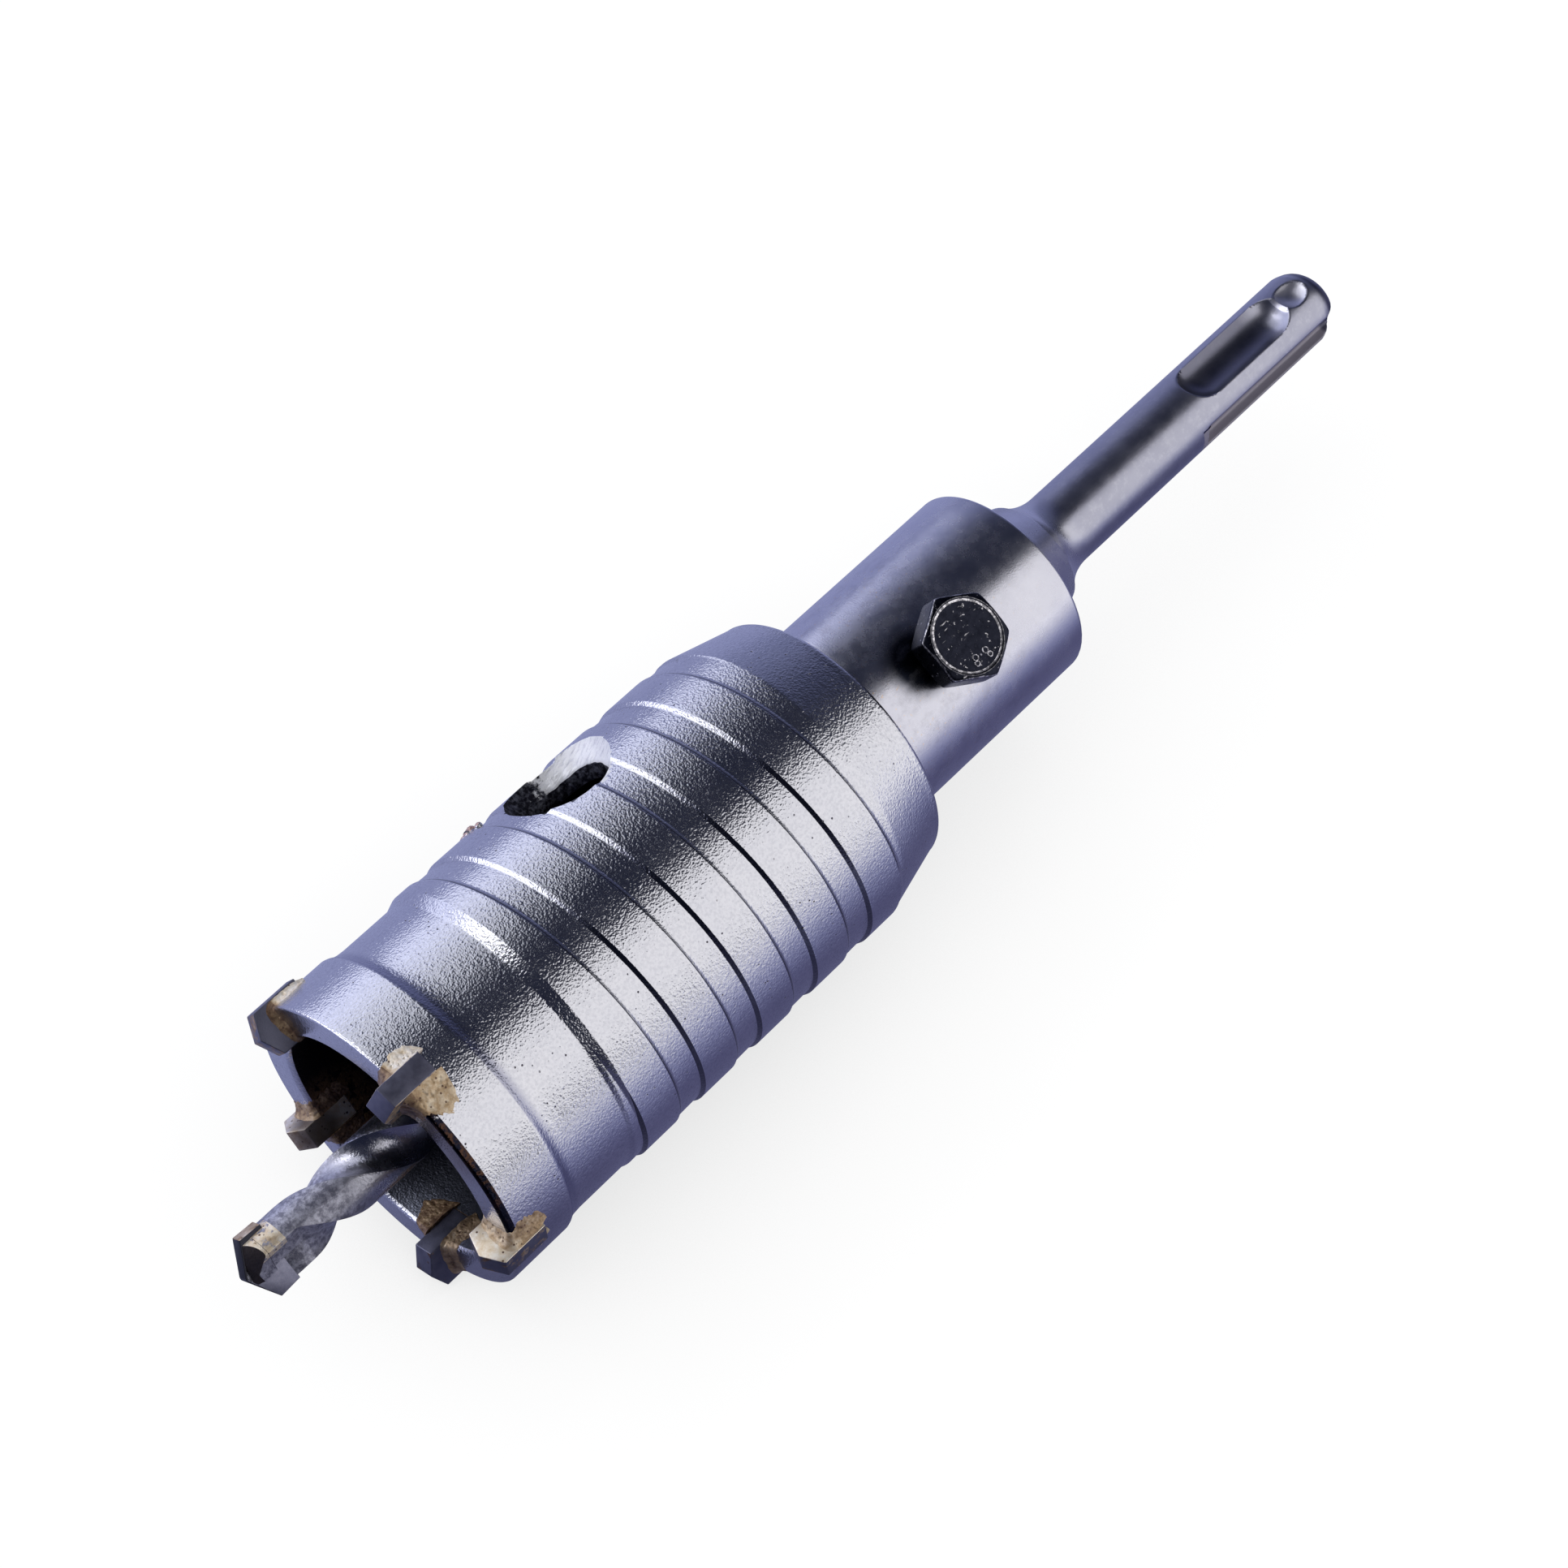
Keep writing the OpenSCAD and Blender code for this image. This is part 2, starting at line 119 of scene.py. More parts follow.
# How much film each tooth carries, and how bright it is, on its two flanks, its front and its outer face
FILM = (((0.25, 0.80), (0.30, 0.60), (0.05, 0.3), (0.00, 0.3)),
        ((0.75, 0.85), (0.30, 0.60), (0.20, 0.3), (0.20, 0.5)),
        ((0.12, 0.30), (0.60, 0.12), (0.20, 0.1), (0.05, 0.3)),
        ((0.50, 0.45), (0.60, 0.85), (0.60, 0.65), (0.70, 0.9)),
        ((0.30, 0.40), (0.10, 0.30), (0.27, 0.35), (0.10, 0.3)))

# Adaptor and shank
SPIGOT_X = 60.8
SPIGOT_R = 10.9
ADAPTOR_R = 13.15
ADAPTOR_CHAMFER = 0.3
ADAPTOR_ROUND = 0.6
ADAPTOR_X1 = 103.5
NECK_X1 = 114.5
NECK_ROUND = 8.0
SHANK_R = 5.0
SHANK_X1 = 165.0
SHANK_END_R = 3.4
LOCK_ANGLE = 1.1
LOCK_X0 = 138.7
LOCK_X1 = 158.3
LOCK_R = 4.2
LOCK_C = 7.1
DIMPLE_X = 160.1
DIMPLE_DEPTH = 0.85
DIMPLE_L = 2.4
DRIVE_X0 = 137.0
DRIVE_RUNOUT = 2.5
DRIVE_HALF = 1.75
DRIVE_FLOOR = 3.2

# Pilot drill
PILOT_R = 3.55
PILOT_END_R = 4.0
PILOT_BORE_R = 4.08
PILOT_BORE_X1 = 93.0
PILOT_FRONT = -18.3
TWIST_START = -14.0
FLUTE_END = 40.0
FLUTE_RUNOUT = 4.0
PILOT_END = 92.0
FLUTE_LEAD = 33.0
LAND_ANGLE = -23.4
WEB = 4.2
FLUTE_R = 7.9
TIP_ANGLE = -42.4
PLATE_HALF = 1.01

# Clamp bolt, whose grade stands in two numerals at the MARK_ANGLES round its head
BOLT_X = 85.9
BOLT_ANGLE = 31.9
BOLT_HOLE_R = 3.08
BOLT_FOOT = PILOT_END_R - 0.6
BOLT_SEAT = ADAPTOR_R + 0.8
BOLT_TOP = ADAPTOR_R + 4.8
STEM_R = 2.94
THREAD_DEPTH = 0.3
HEAD_AF = 10.0
CHAMFER_R = 4.72
MARK_ANGLES = (-76, -112)

# Stains: burnt flux in the bore, rust and brown on the rim, a smear of dirt with painted shadow at the bolt,
# a burnt tooth
FLUX_AT = (2.5, 12.0, -9.8)
RUST_AT = (0.0, -13.5, 14.5)
BROWN_AT = (0.0, -10.0, 14.0)
BOLT_SMEAR_AND_SHADOW_AT = (81.4, -5.8, 11.8)
BURNT_AT = (-0.5, 12.6, -10.2)

# Camera at the photograph's angle
CAMERA_AT = (-96.74, -157.41, 328.54)
CAMERA_FORWARD = (0.40424, 0.39480, -0.82506)
CAMERA_UP = (0.61983, 0.54509, 0.56452)
CAMERA_LENS = 78.26


def clamp(v, low, high):
    return max(low, min(high, v))


def soft_min(a, b, k):
    """The lower of two heights, rounded over k where they cross."""
    h = max(k - abs(a - b), 0) / k
    return min(a, b) - h * h * k / 4


def ramp(x, points):
    """Height at x on a line through points."""
    return float(np.interp(x, [p[0] for p in points], [p[1] for p in points]))


def polar(x, r, angle):
    a = radians(angle)
    return (x, -r * sin(a), r * cos(a))


def radius(place):
    """Distance of a place from the tool axis."""
    return hypot(place.y, place.z)


def turned(angle):
    """Matrix that turns a shape about the tool axis."""
    return Matrix.Rotation(radians(angle), 4, "X")


def tooth_angle(k):
    return TOOTH_ANGLE + 360 / TEETH * k


def circle(n):
    """n angles round a full turn, in radians."""
    return [2 * pi * i / n for i in range(n)]


# Meshes

@contextmanager
def editing(mesh):
    """Opens a mesh for editing and writes it back at the end."""
    bm = bmesh.new()
    bm.from_mesh(mesh)
    yield bm
    bm.to_mesh(mesh)
    bm.free()


def shade(mesh, angle):
    """Shades a mesh smooth, apart from edges sharper than angle."""
    mesh.shade_smooth()
    mesh.set_sharp_from_angle(angle=radians(angle))


def add_object(name, data):
    made = bpy.data.objects.new(name, data)
    bpy.context.scene.collection.objects.link(made)
    return made


def new_object(name, points, faces, smooth=35):
    mesh = bpy.data.meshes.new(name)
    mesh.from_pydata([tuple(c * MM for c in p) for p in points], [], faces)
    with editing(mesh) as bm:
        bmesh.ops.remove_doubles(bm, verts=bm.verts, dist=0.0015 * MM)
        bmesh.ops.dissolve_degenerate(bm, edges=bm.edges, dist=0.0005 * MM)
        bmesh.ops.recalc_face_normals(bm, faces=bm.faces)
    shade(mesh, smooth)
    return add_object(name, mesh)


def loft(name, rings, smooth=35, close=True):
    """Skins rings of points. Each ring has the same number of points, and the ends are capped."""
    n = len(rings[0])
    points = [p for ring in rings for p in ring]
    faces = []
    for i in range(len(rings) - 1):
        for j in range(n):
            a, b = i * n + j, i * n + (j + 1) % n
            faces.append((a, b, b + n, a + n))
    if close:
        faces += [tuple(range(n - 1, -1, -1)), tuple(range((len(rings) - 1) * n, len(rings) * n))]
    return new_object(name, points, faces, smooth)


def block(name, low, high, angle):
    points = [(x, y, z) for x in (low[0], high[0]) for y in (low[1], high[1]) for z in (low[2], high[2])]
    faces = [(0, 1, 3, 2), (4, 6, 7, 5), (0, 4, 5, 1), (2, 3, 7, 6), (0, 2, 6, 4), (1, 5, 7, 3)]
    made = new_object(name, points, faces)
    made.data.transform(turned(angle))
    return made


def apply_changes(piece):
    bpy.context.view_layer.update()
    graph = bpy.context.evaluated_depsgraph_get()
    mesh = bpy.data.meshes.new_from_object(piece.evaluated_get(graph))
    old = piece.data
    piece.modifiers.clear()
    piece.data = mesh
    bpy.data.meshes.remove(old)


def cut(piece, cutters, smooth):
    """Takes the cutters' space out of the piece and deletes them."""
    for cutter in cutters:
        change = piece.modifiers.new("cut", "BOOLEAN")
        change.operation = "DIFFERENCE"
        change.solver = "EXACT"
        change.object = cutter
    apply_changes(piece)
    for cutter in cutters:
        bpy.data.objects.remove(cutter)
    piece.data.set_sharp_from_angle(angle=radians(smooth))


def join(piece, parts, smooth):
    """Adds the parts' faces to the piece and deletes the parts."""
    with editing(piece.data) as bm:
        for part in parts:
            bm.from_mesh(part.data)
    for part in parts:
        bpy.data.objects.remove(part)
    shade(piece.data, smooth)


def from_node(name, node, bevel):
    """A finer copy of a CAD node: its flat faces joined again and its edges worn round by bevel."""
    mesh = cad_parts[node].data.copy()
    with editing(mesh) as bm:
        bmesh.ops.remove_doubles(bm, verts=bm.verts, dist=0.002 * MM)
        bmesh.ops.dissolve_limit(bm, angle_limit=radians(1), verts=bm.verts, edges=bm.edges)
    mesh.name = name
    mesh.materials.clear()
    made = add_object(name, mesh)
    if bevel:
        change = made.modifiers.new("edges", "BEVEL")
        change.width = bevel * MM
        change.segments = 3
        change.limit_method = "ANGLE"
        change.angle_limit = radians(25)
        change.harden_normals = False
        apply_changes(made)
    shade(made.data, 35)
    return made


def paint(piece, name, value):
    """Stores value(centre, normal) of each face, in millimetres, for the materials to read."""
    layer = piece.data.attributes.new(name, "FLOAT", "FACE")
    layer.data.foreach_set("value", [float(value(f.center / MM, f.normal)) for f in piece.data.polygons])


# Cup

def blank_radius(x):
    """Radius of the cup before its spiral is cut."""
    tail_r = CREST_R - TAIL_STEP
    return ramp(x, [(0, COLLAR_R), (COLLAR_L, COLLAR_R)]
                + [(COLLAR_L + back, COLLAR_R - drop) for back, drop in COLLAR_EASE]
                + [(RELIEF_X + 0.5, RELIEF_R), (SHOULDER_X0, RELIEF_R), (SHOULDER_X1, CREST_R),
                   (TAIL_X - 0.15, CREST_R), (TAIL_X, tail_r),
                   (CUP_L, tail_r - (CUP_L - TAIL_X) * TAIL_SLOPE)])


def place_in_lead(x, turn):
    """Place in the spiral's section, from -LEAD to 0 at the crest of its steep flank."""
    return (x - (GROOVE_X + LEAD * turn)) % LEAD - LEAD


def cup_radius(x, turn):
    """Radius of the cup with its spiral at x, where turn is the angle over 360."""
    steep = GROOVE_DEPTH / FLANK_L
    floor = GROOVE_DEPTH - GROOVE_RISE
    gentle = floor / BACK_FLANK_L
    groove = CREST_R + ramp(place_in_lead(x, turn), [
        (-LEAD, (LEAD - GROOVE_W) * gentle), (-GROOVE_W, 0), (-GROOVE_W + BACK_FLANK_L, -floor),
        (-FLANK_L, -GROOVE_DEPTH), (0, 0), (0.01, 2.0 * steep)])
    return soft_min(blank_radius(x), groove, 0.05)


def arc(cx, cr, rad, start, end, n):
    return [(cx + rad * sin(radians(a)), cr + rad * cos(radians(a)))
            for a in np.linspace(start, end, n)]


def cup_ring(turn):
    """Outline of the cup's wall at one angle, as (x, radius) from the rim's edge round and back."""
    front = arc(RIM_ROUND, COLLAR_R - RIM_ROUND, RIM_ROUND, -90, 0, 5)
    collar = [(x, blank_radius(x)) for x in (1, 2, 3, 4, 5, 6, 7, 7.8, 8.15, 8.3, 8.45, 8.65, 8.85, 9.05,
                                             9.25, 9.45, 9.7, 10, 10.5, 11.1, 12, 14, 16, 17.6, 18.0)]
    shoulder = [(x, cup_radius(x, turn)) for x in np.arange(SHOULDER_X0, SHOULDER_X1 + 0.01, 0.1)]
    spiral = []
    for k in range(-1, 6):
        for offset in (-4.4, -4.25, -4.2, -4.15, -4.0, -3.8, -3.62, -3.55, -3.4, -2.5, -1.5, -0.8, -0.5,
                       -0.45, -0.4, -0.3, -0.2, -0.1, -0.04, 0.0, 0.06, 0.2, 0.8, 1.8, 2.8, 3.8):
            x = clamp(GROOVE_X + LEAD * (turn + k) + offset, SHOULDER_X1 + 0.02, TAIL_X - 0.3)
            spiral.append((x, cup_radius(x, turn)))
    tail = [(x, cup_radius(x, turn)) for x in np.arange(TAIL_X - 0.2, TAIL_X + 2.8, 0.12)]
    tail += [(x, blank_radius(x)) for x in (66.5, 68, 69.5, 70.6, 71.2)]
    tail += arc(CUP_L - TAIL_ROUND, blank_radius(CUP_L - TAIL_ROUND) - 0.97, TAIL_ROUND, 18, 90, 7)
    inside = [(CUP_L, SPIGOT_BORE_R), (FLOOR_X, SPIGOT_BORE_R), (FLOOR_X, BORE_R - BORE_EDGE)]
    inside += [(x, BORE_R) for x in (FLOOR_X - BORE_EDGE, 45, 30, 15, 5, 0.55)]
    inside += [(0.45, BORE_R + 0.03), (0.03, BORE_R + 0.45), (0, BORE_R + 0.55), (0, 17.5)]
    return front + collar + shoulder + spiral + tail + inside


def hole_cutter():
    """The side hole's space. Its wall is torn and leans inward, most on the +X side."""
    levels = 7
    rings = []
    for level in range(levels + 3):
        part = clamp((level - 1) / levels, 0, 1)
        ring = []
        for t in circle(120):
            surface = sqrt(CREST_R ** 2 - (HOLE_R * sin(t)) ** 2)
            side = (0.5 + 0.5 * cos(t - 0.45)) ** 1.3
            lean = TORN_LEAN[0] + (TORN_LEAN[1] - TORN_LEAN[0]) * side
            rough = noise.noise(Vector((6 * cos(t), 6 * sin(t), 2.2 * part))) * 0.32 * part
            r = HOLE_R - lean * part ** 1.15 + rough
            h = (CREST_R + 4) if level == 0 else surface + 0.03 - TORN_DEPTH * part
            if level == levels + 2:
                h = BORE_R - 4
            ring.append((HOLE_X + r * cos(t), r * sin(t), h))
        rings.append(ring)
    made = loft("hole_cutter", rings)
    made.data.transform(turned(HOLE_ANGLE))
    return made


def add_spatter(cup):
    with editing(cup.data) as bm:
        for x, angle, size in SPATTER:
            place = Matrix.Translation(Vector(polar(x, CREST_R - 0.25, angle)) * MM) @ turned(angle)
            made = bmesh.ops.create_icosphere(bm, subdivisions=3, radius=size * MM, matrix=place)
            for v in made["verts"]:
                v.co += (v.co - place.translation) * 0.35 * noise.noise(v.co / MM * 1.4)
                at = place.inverted() @ v.co
                v.co = place @ Vector((at.x, at.y, at.z * 0.85))
    shade(cup.data, 50)


def make_cup():
    steps = 240
    rings = [[polar(x, r, 360 * i / steps) for x, r in cup_ring(i / steps)] for i in range(steps + 1)]
    cup = loft("cup_shell", rings, smooth=50, close=False)
    cutters = [hole_cutter()]
    for k in range(TEETH):
        cutters.append(block("seat_cutter", (-1, -SEAT_HALF, BORE_R - 2),
                             (SEAT_L + SEAT_GAP, SEAT_HALF, TOOTH_OUT + 2), tooth_angle(k)))
    cut(cup, cutters, smooth=50)
    add_spatter(cup)
    paint_cup(cup)
    return cup


def paint_cup(cup):
    middle, out = Vector((HOLE_X, 0, 0)), Vector(polar(0, 1, HOLE_ANGLE))

    def hole_wall(c, n):
        across = c - middle
        across -= out * across.dot(out)
        return across.length < HOLE_R + 0.03 and radius(c) > BORE_R + 0.02 and c.z > 0

    def rim_dirt(c, n):
        """Dirt right of the front tooth, most on the rim's outer edge."""
        angle = degrees(atan2(-c.y, c.z))
        if c.x > 0.9 or not 22 < angle < 92:
            return 0.0
        return 0.66 if radius(c) > COLLAR_R - 0.5 else 0.27

    def painted_crease_shade(c, n):
        """Painted shade along the spiral's two flanks: a line on the back one, and the steep one on the -Y
        side.
        """
        angle = degrees(atan2(-c.y, c.z))
        at = place_in_lead(c.x, angle / 360)
        if radius(c) < CREST_R - 0.6 or not SHOULDER_X1 < c.x < TAIL_X - 0.3:
            return 0
        if -4.16 < at < -3.99:
            return 0.9
        if -3.99 < at < -3.79:
            return 0.45
        return 0.75 * clamp((angle - 5) / 15, 0, 1) if -0.46 < at < 0 else 0

    paint(cup, "hole_wall", hole_wall)
    paint(cup, "ground", lambda c, n: hole_wall(c, n) and n.dot(out) > 0.22 and c.x > HOLE_X - 3)
    paint(cup, "spatter", lambda c, n: radius(c) > CREST_R + 0.06 and 29 < c.x < 35)
    paint(cup, "rim_dirt", rim_dirt)
    paint(cup, "bore", lambda c, n: radius(c) < BORE_R + 0.02 and c.x > 0.6)
    paint(cup, "painted_crease_shade", painted_crease_shade)


# Adaptor with its driving shank

def drive_profile(floor, r):
    """Half of a driving groove's outline from its middle to the shank's surface, as (across, out)."""
    corner, edge, rise = 0.35, 0.25, 0.2
    top = sqrt(r * r - (DRIVE_HALF + edge) ** 2)
    points = [(DRIVE_HALF * f, floor) for f in (0, 0.3, 0.6)]
    points += [(DRIVE_HALF - corner + corner * sin(a), floor + corner - corner * cos(a))
               for a in np.radians([0, 30, 60, 90])]
    points += [(DRIVE_HALF + 0.01 * f, floor + corner + (top - rise - floor - corner) * f)
               for f in (0.33, 0.67, 1)]
    points += [(DRIVE_HALF + edge * (1 - cos(a)), top - rise + rise * sin(a))
               for a in np.radians([25, 50, 75])]
    return [(u, min(max(v, floor), sqrt(r * r - u * u))) for u, v in points]


def lock_radius(x, angle, r):
    """Radius of the shank where a locking groove, angle away from its middle, cuts it."""
    runout = sqrt(LOCK_R ** 2 - (LOCK_C - SHANK_R) ** 2)
    past = max(LOCK_X0 + runout - x, x - LOCK_X1 + runout, 0)
    a = radians(angle)
    for over, centre, blend in ((x - DIMPLE_X, SHANK_R - DIMPLE_DEPTH + LOCK_R, 0.1), (past, LOCK_C, 0.25)):
        q = LOCK_R ** 2 - over ** 2 - (centre * sin(a)) ** 2
        if q > 0:
            r = soft_min(r, centre * cos(a) - sqrt(q), blend)
    return r


def shank_ring(x, r):
    """Section of the adaptor at x, where the body's radius is r."""
    in_shank = x > NECK_X1
    whole = max(r, SHANK_END_R) if in_shank else SHANK_R
    floor = DRIVE_FLOOR + max(0, DRIVE_X0 + DRIVE_RUNOUT - x) * (SHANK_R + 1 - DRIVE_FLOOR) / DRIVE_RUNOUT
    half = drive_profile(floor if in_shank else SHANK_R, whole)
    last = degrees(atan2(half[-1][0], half[-1][1]))
    ring = []
    for side in (LOCK_ANGLE, LOCK_ANGLE + 180):
        for angle in np.linspace(last - 88.5, 88.5 - last, 84):
            reach = lock_radius(x, angle, whole) if in_shank else whole
            ring.append(polar(x, reach * r / whole, side + angle))
        for u, v in [(-u, v) for u, v in reversed(half)] + half[1:]:
            ring.append(polar(x, hypot(u, v) * r / whole, side + 90 + degrees(atan2(u, v))))
    return ring


def adaptor_outline():
    """(x, radius) stations of the adaptor from the bottom of its bore round to its driving end."""
    bore = [(PILOT_BORE_X1, 0.01), (PILOT_BORE_X1, PILOT_BORE_R), (SPIGOT_X + 1, PILOT_BORE_R),
            (SPIGOT_X, PILOT_BORE_R + 1)]
    spigot = [(SPIGOT_X, SPIGOT_R - 1), (SPIGOT_X + 1, SPIGOT_R), (CUP_L, SPIGOT_R)]
    body = [(CUP_L, ADAPTOR_R - ADAPTOR_CHAMFER)]
    body += arc(CUP_L + ADAPTOR_CHAMFER, ADAPTOR_R - ADAPTOR_CHAMFER, ADAPTOR_CHAMFER, -80, 0, 4)
    body += [(x, ADAPTOR_R) for x in (75, 80, 85, 90, 95, 100)]
    body += arc(ADAPTOR_X1 - ADAPTOR_ROUND, ADAPTOR_R - ADAPTOR_ROUND, ADAPTOR_ROUND, 0, 90, 7)
    neck = [(ADAPTOR_X1, 9.9), (ADAPTOR_X1 + 0.1, 9.5), (ADAPTOR_X1 + 0.4, 9.22)]
    neck += arc(NECK_X1, SHANK_R + NECK_ROUND, NECK_ROUND, 225, 180, 16)
    stations = (115, 118, 122, 126, 130, 134, *np.arange(136, 142.6, 0.15), *np.arange(143, 154.2, 1),
                *np.arange(154.5, 162.2, 0.15))
    shank = [(x, SHANK_R) for x in stations]
    end = [(SHANK_X1 - back, r) for back, r in (
        (2.7, 4.99), (2.4, 4.93), (2.0, 4.82), (1.4, 4.62), (0.9, 4.36), (0.55, 4.1), (0.25, 3.8),
        (0.07, 3.6), (0, SHANK_END_R))]
    return bore + spigot + body + neck + shank + end + [(SHANK_X1, 0.01)]


def make_adaptor():
    adaptor = loft("shank_adaptor", [shank_ring(x, r) for x, r in adaptor_outline()], smooth=40)
    hole = loft("bolt_hole_cutter", [[(BOLT_X + BOLT_HOLE_R * cos(t), BOLT_HOLE_R * sin(t), h)
                                      for t in circle(96)] for h in (-0.5, ADAPTOR_R + 1)])
    hole.data.transform(turned(BOLT_ANGLE))
    cut(adaptor, [hole], smooth=40)
    paint_adaptor(adaptor)
    return adaptor


def paint_adaptor(adaptor):
    def locking(c):
        at = turned(-LOCK_ANGLE) @ c
        return LOCK_X0 - 3 < c.x < SHANK_X1 - 1 and abs(at.z) > abs(at.y) and radius(c) < SHANK_R - 0.12

    def driving(c):
        """1 on a driving groove's floor and lower wall, -1 on its upper wall with its edge."""
        at = turned(-LOCK_ANGLE) @ c
        if not DRIVE_X0 < c.x < SHANK_X1 - 0.5 or abs(at.y) < abs(at.z) or abs(at.z) > DRIVE_HALF + 0.22:
            return 0
        return -1 if at.z > DRIVE_HALF - 0.1 else 1

    # Painted shade in the locking grooves
    paint(adaptor, "lock_groove_shade", lambda c, n: locking(c) and c.x < DIMPLE_X - 2.3)
    # Painted highlight in the dimples
    paint(adaptor, "dimple", lambda c, n: locking(c) and abs(c.x - DIMPLE_X) < DIMPLE_L)
    paint(adaptor, "drive_floor", lambda c, n: driving(c) == 1)
    # Painted shade on the driving grooves' upper walls and edges
    paint(adaptor, "drive_edge_shade", lambda c, n: driving(c) == -1)


# Pilot drill

def pilot_radius(angle):
    """Radius of the fluted section, angle away from a land's middle."""
    centre = WEB / 2 + FLUTE_R
    reach = PILOT_R
    for side in (90, 270):
        a = radians(angle - side)
        q = FLUTE_R ** 2 - (centre * sin(a)) ** 2
        if q > 0 and cos(a) > 0:
            reach = soft_min(reach, centre * cos(a) - sqrt(q), 0.08)
    return reach


def pilot_rings():
    n = 96
    section = [pilot_radius(360 * j / n) for j in range(n)]
    xs = [PILOT_FRONT, PILOT_FRONT + 0.15, *np.arange(PILOT_FRONT + 0.6, FLUTE_END, 0.5),
          *np.linspace(FLUTE_END, FLUTE_END + FLUTE_RUNOUT, 9)]
    rings = [[(PILOT_FRONT, 0, 0)] * n]
    for i, x in enumerate(xs):
        twist = LAND_ANGLE + 360 * max(0, x - TWIST_START) / FLUTE_LEAD
        out = clamp((x - FLUTE_END) / FLUTE_RUNOUT, 0, 1)
        draw = 0.12 if i == 0 else 0
        rings.append([polar(x, (r - draw) * (1 - out) + PILOT_END_R * out, 360 * j / n + twist)
                      for j, r in enumerate(section)])
    for x, r in ((60, PILOT_END_R), (75, PILOT_END_R), (PILOT_END - 0.8, PILOT_END_R),
                 (PILOT_END, PILOT_END_R - 0.8), (PILOT_END, 0.01)):
        rings.append([polar(x, r, 360 * j / n + twist) for j in range(n)])
    return rings


def make_gash(side):
    """Space of the ground relief beside the tip's cutting edge."""
    outline = [(-19, -PLATE_HALF), (-16.6, -PLATE_HALF), (-13.2, -2.4), (-13.2, -5), (-19, -5)]
    gash = loft("gash", [[(x, y * side, z * side) for x, y in outline] for z in (-5, -0.45)])
    gash.data.transform(turned(TIP_ANGLE))
    return gash


def make_heel(side):
    """Ground front of a land, which backs the tip plate."""
    outline = []
    for angle in np.arange(17, 124, 3):
        r = pilot_radius(angle - LAND_ANGLE + TIP_ANGLE) - 0.03
        outline.append((-r * sin(radians(angle)), r * cos(radians(angle))))
    outline += [(-1.0, z) for z in np.linspace(-1.2, 3.2, 9)]
    back = PILOT_FRONT + 0.2
    front = [(PILOT_FRONT - 2.9 + 0.5 * abs(z) + 0.85 * (-1 - y), y, z) for y, z in outline]
    made = loft("heel", [[(back, y, z) for y, z in outline],
                         [(min(x + 0.06, back - 0.05), y, z) for x, y, z in front],
                         [(min(x, back - 0.1), y * 0.985 - 0.015, z * 0.985) for x, y, z in front]])
    made.data.transform(turned(TIP_ANGLE + side))
    return made


def make_pilot():
    pilot = loft("pilot_flutes", pilot_rings(), smooth=35)
    slot = block("slot_cutter", (-24, -PLATE_HALF, -5), (-16.35, PLATE_HALF, 5), TIP_ANGLE)
    flat = block("flat_cutter", (BOLT_X - 5, -5, BOLT_FOOT), (BOLT_X + 5, 5, 8), BOLT_ANGLE)
    cut(pilot, [slot, flat, make_gash(1), make_gash(-1)], smooth=35)
    join(pilot, [make_heel(0), make_heel(180)], smooth=35)

    # Painted shade on the front faces at the tip
    def wear_and_shade(c, n):
        return c.x < PILOT_FRONT + 0.3 and n.x < -0.3

    def gold(c, n):
        at = turned(-TIP_ANGLE) @ c
        return c.x < -15.9 and at.y * at.z < 0.3 and radius(at) > 2.9 and not wear_and_shade(c, n)

    paint(pilot, "wear_and_shade", wear_and_shade)
    paint(pilot, "gold", gold)
    return pilot


def split_across(piece, hide=False):
    """Splits a piece of the tip in its middle. Where hide is true, its open sides are drawn in under
    the plate."""
    with editing(piece.data) as bm:
        bmesh.ops.transform(bm, matrix=turned(-TIP_ANGLE), verts=bm.verts)
        if hide:
            bmesh.ops.triangulate(bm, faces=bm.faces)
        for z in (-0.35, 0, 0.35) if hide else (0,):
            bmesh.ops.bisect_plane(bm, geom=bm.verts[:] + bm.edges[:] + bm.faces[:],
                                   plane_co=(0, 0, z * MM), plane_no=(0, 0, 1))
        for v in bm.verts if hide else ():
            if v.co.y * v.co.z > 0 and abs(v.co.z) > 0.3 * MM:
                v.co.y = clamp(v.co.y, -0.9 * MM, 0.9 * MM)
                v.co.z = clamp(v.co.z, -3.3 * MM, 3.3 * MM)
        bmesh.ops.transform(bm, matrix=turned(TIP_ANGLE), verts=bm.verts)


def make_plate():
    """The tip's carbide plate, with film on its ends."""
    plate = from_node("pilot_plate", "pilot_tip", 0.06)
    split_across(plate)

    def local(v):
        return turned(-TIP_ANGLE) @ v

    def flat_side(c, n):
        """1 on the side that a land backs, -1 on the free side and 0 elsewhere."""
        if abs(local(n).y) < 0.9:
            return 0
        at = local(c)
        return 1 if at.y * at.z < 0 else -1

    # Painted shade on the plate's front faces and backed side, painted light on its free side
    paint(plate, "wear_and_shade", lambda c, n: 1.0 if n.x < -0.25 else 0.85 * (flat_side(c, n) == 1))
    paint(plate, "pale", lambda c, n: 0.9 * (flat_side(c, n) == -1))
    paint(plate, "film", lambda c, n: 0.55 * (abs(local(n).z) > 0.8))
    paint(plate, "tone", lambda c, n: 0.6)
    return plate


def make_plate_bead():
    bead = from_node("plate_bead", "tip_braze", 0)
    split_across(bead, hide=True)
    paint(bead, "tone", lambda c, n: 0.7)
    return bead


# Teeth and their braze

